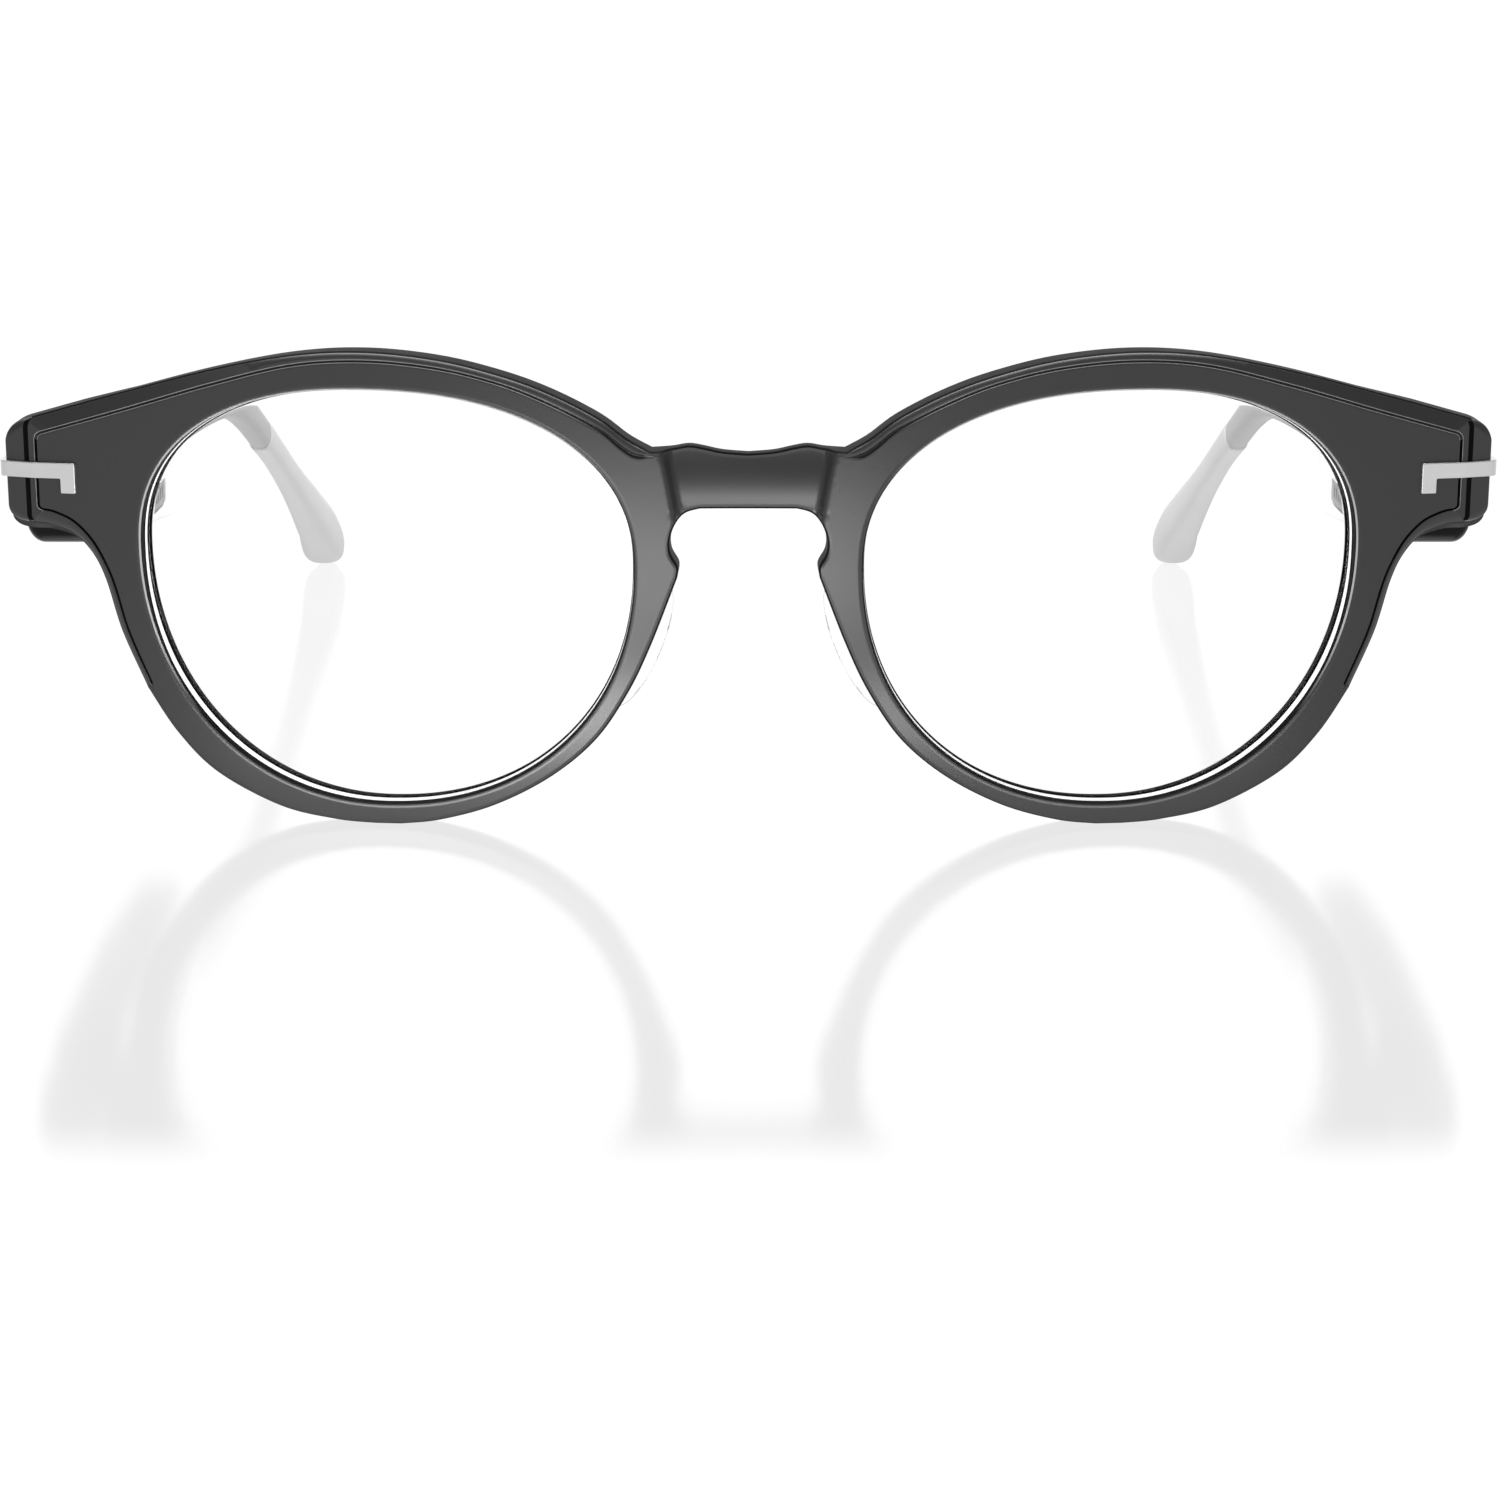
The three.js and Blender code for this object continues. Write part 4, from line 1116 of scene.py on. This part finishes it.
def vary_roughness(m, value, low, high):
    """Lets a value from 0 to 1 run the roughness from low to high."""
    spread = remap(m.node_tree, value, (0.1, 0.9), (low, high), "LINEAR")
    m.node_tree.links.new(spread, shader_of(m).inputs["Roughness"])


def vary_colour(m, value, first, second):
    """Lets a value from 0 to 1 run the colour from the first to the second."""
    tree = m.node_tree
    ramp = tree.nodes.new("ShaderNodeValToRGB")
    ramp.color_ramp.elements[0].position = 0.1
    ramp.color_ramp.elements[1].position = 0.9
    ramp.color_ramp.elements[0].color = (*first, 1)
    ramp.color_ramp.elements[1].color = (*second, 1)
    tree.links.new(value, ramp.inputs["Fac"])
    tree.links.new(ramp.outputs["Color"], shader_of(m).inputs["Base Color"])


def bump(m, height, strength, distance):
    tree = m.node_tree
    node = tree.nodes.new("ShaderNodeBump")
    node.inputs["Strength"].default_value = strength
    node.inputs["Distance"].default_value = distance
    tree.links.new(height, node.inputs["Height"])
    tree.links.new(node.outputs["Normal"], shader_of(m).inputs["Normal"])


def grey(level, tint=0.0):
    """A grey, with a little more or less blue by the tint."""
    return (level, level, level * (1 + tint))


def gloss_black(name, level, roughness, **inputs):
    """Polished black moulding: faint cloudiness in the gloss and the slightest orange peel."""
    m = material(name, grey(level, 0.04), roughness, **inputs)
    vary_roughness(m, noise(m, 120), roughness - 0.02, roughness + 0.03)
    vary_colour(m, noise(m, 60, 2.0), grey(level * 0.94, 0.04), grey(level * 1.06, 0.04))
    bump(m, noise(m, 700, 1.0), 0.03, 0.0001)
    return m


def shade_black(name, level):
    """A darker, unpolished black for walls, grooves and edges, where it stands as painted shade: a fine
    grain that hardly shines.
    """
    m = material(name, grey(level), 0.5, specular_ior_level=0.03)
    vary_roughness(m, noise(m, 400), 0.45, 0.55)
    vary_colour(m, noise(m, 300), grey(level * 0.8), grey(level * 1.2))
    bump(m, noise(m, 1500, 2.0), 0.1, 0.0001)
    return m


HIGHLIGHT_FADE_X = (0.012, 0.02)       # metres from the middle, where the painted highlight runs from dark to bright
HIGHLIGHT_FADE_Z = (0.008, 0.022)      # and metres above the floor


def painted_highlight_edge(name, dark, bright):
    """A glossy black edge with a painted highlight: its colour is bright high up along the temple side,
    and fades out towards the nose and the floor."""
    m = gloss_black(name, dark, 0.3, specular_ior_level=0.1)
    tree = m.node_tree
    parts = place_sockets(tree)
    away = tree.nodes.new("ShaderNodeMath")
    away.operation = "ABSOLUTE"
    tree.links.new(parts["X"], away.inputs[0])
    both = tree.nodes.new("ShaderNodeMath")
    both.operation = "MULTIPLY"
    tree.links.new(remap(tree, away.outputs["Value"], HIGHLIGHT_FADE_X), both.inputs[0])
    tree.links.new(remap(tree, parts["Z"], HIGHLIGHT_FADE_Z), both.inputs[1])
    vary_colour(m, both.outputs["Value"], grey(dark), grey(bright))
    return m


def moulded(name, level, roughness, grain=1800, **inputs):
    """Matt moulded plastic: a fine spark-eroded grain and slight cloudiness."""
    m = material(name, grey(level), roughness, **inputs)
    vary_roughness(m, noise(m, 300), roughness - 0.05, roughness + 0.05)
    vary_colour(m, noise(m, 150, 4.0), grey(level * 0.96), grey(min(1, level * 1.04)))
    bump(m, noise(m, grain, 2.0), 0.12, 0.0001)
    return m


def brushed(name, colour, roughness, stretch, anisotropic=0.3):
    """Metal with fine brush lines that run where stretch is small."""
    m = material(name, colour, roughness, metallic=1.0, anisotropic=anisotropic)
    lines = noise(m, 2500, 2.0, stretch)
    vary_roughness(m, lines, roughness - 0.06, roughness + 0.08)
    vary_colour(m, noise(m, 200, 2.0), tuple(c * 0.95 for c in colour), colour)
    bump(m, lines, 0.05, 0.00005)
    return m


def clear(name, roughness, ior):
    """Clear glass or silicone, with the slightest haze."""
    m = material(name, (1, 1, 1), roughness, transmission_weight=1.0, ior=ior)
    vary_roughness(m, noise(m, 60), roughness, roughness + 0.01)
    return m


def dress(obj, m, slot, body, *replaced):
    """Gives a piece its material and its body, and hides the CAD nodes that it stands for; its record
    slot is not used.
    """
    if len(obj.data.materials) < 2:
        obj.data.materials.clear()
        obj.data.materials.append(m)
    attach(obj, body)
    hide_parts(*replaced)
    return obj


def repaint(name, m):
    """A better material for a CAD node whose shape stays."""
    frame["nodes"][name].material_slots[0].material = m


# ---- assembly -------------------------------------------------------------------------------
def build_front():
    black = gloss_black("front_black", 0.018, 0.28)
    # The darker dull black: painted shade in the frame's walls, grooves and edges, and on the lens's
    # rim.
    wall = shade_black("front_wall_painted_shade", 0.003)
    # The groove lips and the opening's rim: glossy black with a painted highlight in their colour
    line = painted_highlight_edge("groove_lip_painted_highlight", 0.005, 0.22)
    rim = painted_highlight_edge("opening_rim_painted_highlight", 0.005, 0.36)
    glass = clear("lens_glass", 0.0, 1.45)
    # The lens's ground edge: near-white ground glass that also glows, a painted highlight.
    ground = moulded("lens_ground_edge_glow", 0.95, 0.5, emission_strength=0.35)
    silicone = clear("pad_silicone", 0.06, 1.04)
    silver = brushed("trim_silver", (0.66, 0.66, 0.66), 0.3, (0.02, 0.02, 1))
    front = front_frame((black, wall, line, rim))
    dress(front, black, "front_gloss", "front", "front_frame")
    for name, side in SIDES.items():
        dress(corner_trim(side), silver, "trim_silver", "front", f"corner_trim_{name}")
        dress(lug(side), black, "front_gloss", "front", "front_frame")
        blank = even_normals(lens(side, (glass, ground, wall)))
        dress(blank, glass, "lens_clear", "front", f"lens_{name}")
        dress(nose_pad(side), silicone, "pad_silicone", "front", f"nose_pad_{name}")


def build_hinges():
    steel = brushed("hinge_steel", (0.5, 0.5, 0.51), 0.3, (1, 0.03, 1))
    for name, side in SIDES.items():
        leaf = hinge_leaf(f"front_leaf_{name}", 9.8, HINGE_DEPTH, (-1, 1), side)
        dress(leaf, steel, "hinge_steel", "front", f"front_hinge_leaf_{name}")
        leaf = hinge_leaf(f"temple_leaf_{name}", HINGE_DEPTH, HINGE_DEPTH + 8.5, (0,), side)
        dress(leaf, steel, "hinge_steel", f"{name}_temple", f"temple_hinge_leaf_{name}")
        dress(hinge_screw(side), steel, "hinge_steel", "front", f"hinge_screw_{name}")


def build_temples():
    black = gloss_black("shell_black", 0.006, 0.2, specular_ior_level=0.1)
    pale = moulded("cover_white", 0.96, 0.42)
    arm_grey = moulded("arm_grey", 0.37, 0.45)
    tip_grey = moulded("tip_grey", 0.57, 0.55, grain=2400)
    dark = moulded("grille_dark", 0.3, 0.5)
    steel = brushed("screw_steel", (0.5, 0.5, 0.51), 0.28, (1, 1, 1))
    gold = brushed("contact_gold", (0.83, 0.62, 0.27), 0.2, (1, 1, 1))
    for name, side in SIDES.items():
        body = f"{name}_temple"
        dress(temple_shell(side), black, "shell_gloss", body, f"temple_shell_{name}")
        dress(temple_cover(side), pale, "cover_pale", body, f"temple_cover_{name}")
        dress(speaker_grille(side), dark, "grille_dark", body, f"speaker_grille_{name}")
        dress(temple_arm(side), arm_grey, "arm_grey", body, f"temple_arm_{name}")
        dress(ear_tip(side), tip_grey, "tip_grey", body, f"ear_tip_{name}")
        for number in (1, 2):
            screw = cover_screw(number, side)
            dress(screw, steel, "hinge_steel", body, f"cover_screw_{name}_{number}")
            pin = charging_contact(number, side)
            dress(pin, gold, "contact_gold", body, f"charging_contact_{name}_{number}")


def build_controls():
    black = moulded("button_black", 0.03, 0.35, grain=2600)
    button = control_cap("action_cap", BUTTON)
    dress(button, black, "button_black", "action_button", "action_button")
    rocker = control_cap("volume_cap", ROCKER, dip=0.22)
    dress(rocker, black, "button_black", "volume_rocker", "volume_rocker")


def paint_electronics():
    """The parts inside the housings keep their CAD shapes."""
    foil = brushed("battery_foil", (0.55, 0.57, 0.6), 0.35, (1, 0.05, 1), 0.5)
    board = moulded("board_green", 0.12, 0.4)
    vary_colour(board, noise(board, 500, 1.0), (0.01, 0.1, 0.045), (0.02, 0.16, 0.075))
    film = moulded("flex_film", 0.3, 0.35)
    vary_colour(film, noise(film, 900, 1.0, (1, 0.05, 1)), (0.4, 0.13, 0.012), (0.55, 0.2, 0.03))
    driver = moulded("driver_black", 0.04, 0.5)
    nickel = brushed("magnet_nickel", (0.66, 0.65, 0.62), 0.25, (1, 1, 1))
    tin = brushed("switch_tin", (0.6, 0.6, 0.6), 0.3, (1, 1, 1))
    for name in SIDES:
        repaint(f"battery_{name}", foil)
        repaint(f"circuit_board_{name}", board)
        repaint(f"flex_cable_{name}", film)
        repaint(f"speaker_driver_{name}", driver)
        repaint(f"charging_magnet_{name}", nickel)
        repaint(f"microphone_{name}", tin)
    for name in ("action_switch", "volume_switch_front", "volume_switch_rear"):
        repaint(name, tin)


# ---- studio ---------------------------------------------------------------------------------
CAMERA_BACK = 320.0       # mm in front of the glasses
CAMERA_HEIGHT = 87.25     # mm above the floor
CAMERA_PITCH = 13.886     # degrees down
SENSOR = 36.0
FOCAL_LENGTH = 81.1
FLOOR_HALF = 8.0          # metres
GLOSS_SPAN = (-0.166, -0.154)     # the y where the floor's gloss ends, and where it is full
FLOOR_GLOSS = 0.22
FLOOR_GLOW = (1.02, 0.79)         # where it is bare, and where the gloss adds its own light
WORLD_STRENGTH = (0.35, 1.1)      # towards the camera, and behind the glasses
RIM_LAMPS = {-37: 0.015, 37: 0.008}      # x and watts, in front of each rim's lowest part


def camera():
    data = bpy.data.cameras.new("camera")
    data.sensor_width = SENSOR
    data.lens = FOCAL_LENGTH
    data.clip_start = 0.01
    obj = put_in_scene("camera", data)
    obj.location = (0, (FRONT_Y - CAMERA_BACK) * MM, CAMERA_HEIGHT * MM)
    obj.rotation_euler = (math.radians(90 - CAMERA_PITCH), 0, 0)
    bpy.context.scene.camera = obj


def lamp(name, x, depth, z, aim, size, watts):
    """A soft rectangular lamp; x, depth and z in mm, aimed at a point given the same way."""
    data = bpy.data.lights.new(name, "AREA")
    data.shape = "RECTANGLE"
    data.size, data.size_y = (s * MM for s in size)
    data.energy = watts
    obj = put_in_scene(name, data)
    here, there = (Vector(place([p])[0]) for p in ((x, depth, z), aim))
    obj.location = here
    obj.rotation_euler = (there - here).to_track_quat("-Z", "Y").to_euler()
    obj.visible_camera = False
    obj.visible_transmission = False
    return obj


def shine_only_on(light, *objects):
    """Keeps a lamp's light off everything but these objects."""
    group = bpy.data.collections.new(light.name)
    for obj in objects:
        group.objects.link(obj)
    light.light_linking.receiver_collection = group


def floor():
    """A pale floor that glows a little, so that it stays white under the glasses. It is glossy
    round them, and the gloss ends a little way in front."""
    mesh = bpy.data.meshes.new("floor")
    corners = [(-1, -1), (1, -1), (1, 1), (-1, 1)]
    mesh.from_pydata([(FLOOR_HALF * x, FLOOR_HALF * y, -0.0001) for x, y in corners], [], [(0, 1, 2, 3)])
    obj = put_in_scene("floor", mesh)
    m = bpy.data.materials.new("floor_white")
    m.use_nodes = True
    tree = m.node_tree
    tree.nodes.remove(tree.nodes["Principled BSDF"])
    y = place_sockets(tree)["Y"]
    glow = tree.nodes.new("ShaderNodeEmission")
    gloss = tree.nodes.new("ShaderNodeBsdfGlossy")
    gloss.inputs["Roughness"].default_value = 0.12
    both = tree.nodes.new("ShaderNodeAddShader")
    tree.links.new(remap(tree, y, GLOSS_SPAN, (0, FLOOR_GLOSS)), gloss.inputs["Color"])
    tree.links.new(remap(tree, y, GLOSS_SPAN, FLOOR_GLOW), glow.inputs["Strength"])
    tree.links.new(glow.outputs["Emission"], both.inputs[0])
    tree.links.new(gloss.outputs["BSDF"], both.inputs[1])
    tree.links.new(both.outputs["Shader"], tree.nodes["Material Output"].inputs["Surface"])
    mesh.materials.append(m)


def world():
    """White behind the glasses, grey towards the sides and the camera."""
    w = bpy.data.worlds.new("studio")
    bpy.context.scene.world = w
    w.use_nodes = True
    tree = w.node_tree
    background = tree.nodes["Background"]
    background.inputs["Color"].default_value = (1, 1, 1, 1)
    strength = remap(tree, place_sockets(tree, "Generated")["Y"], (0.2, 0.8), WORLD_STRENGTH)
    tree.links.new(strength, background.inputs["Strength"])
    bpy.context.scene.view_settings.view_transform = "Standard"


def lights():
    lamp("low_front", -10, -60, 14, (-5, 5, 22), (60, 16), 0.02)
    for x, watts in RIM_LAMPS.items():
        light = lamp("rim_light", x, -28, 5, (x, 0, 5), (50, 6), watts)
        shine_only_on(light, bpy.data.objects["front_moulding"])
    lamp("brow_light", -20, -200, 165, (0, 0, 38), (300, 60), 0.12)
    lamp("overhead", 0, 70, 300, (0, 70, 20), (300, 200), 1.4)


build_front()
build_hinges()
build_temples()
build_controls()
paint_electronics()
floor()
camera()
world()
lights()
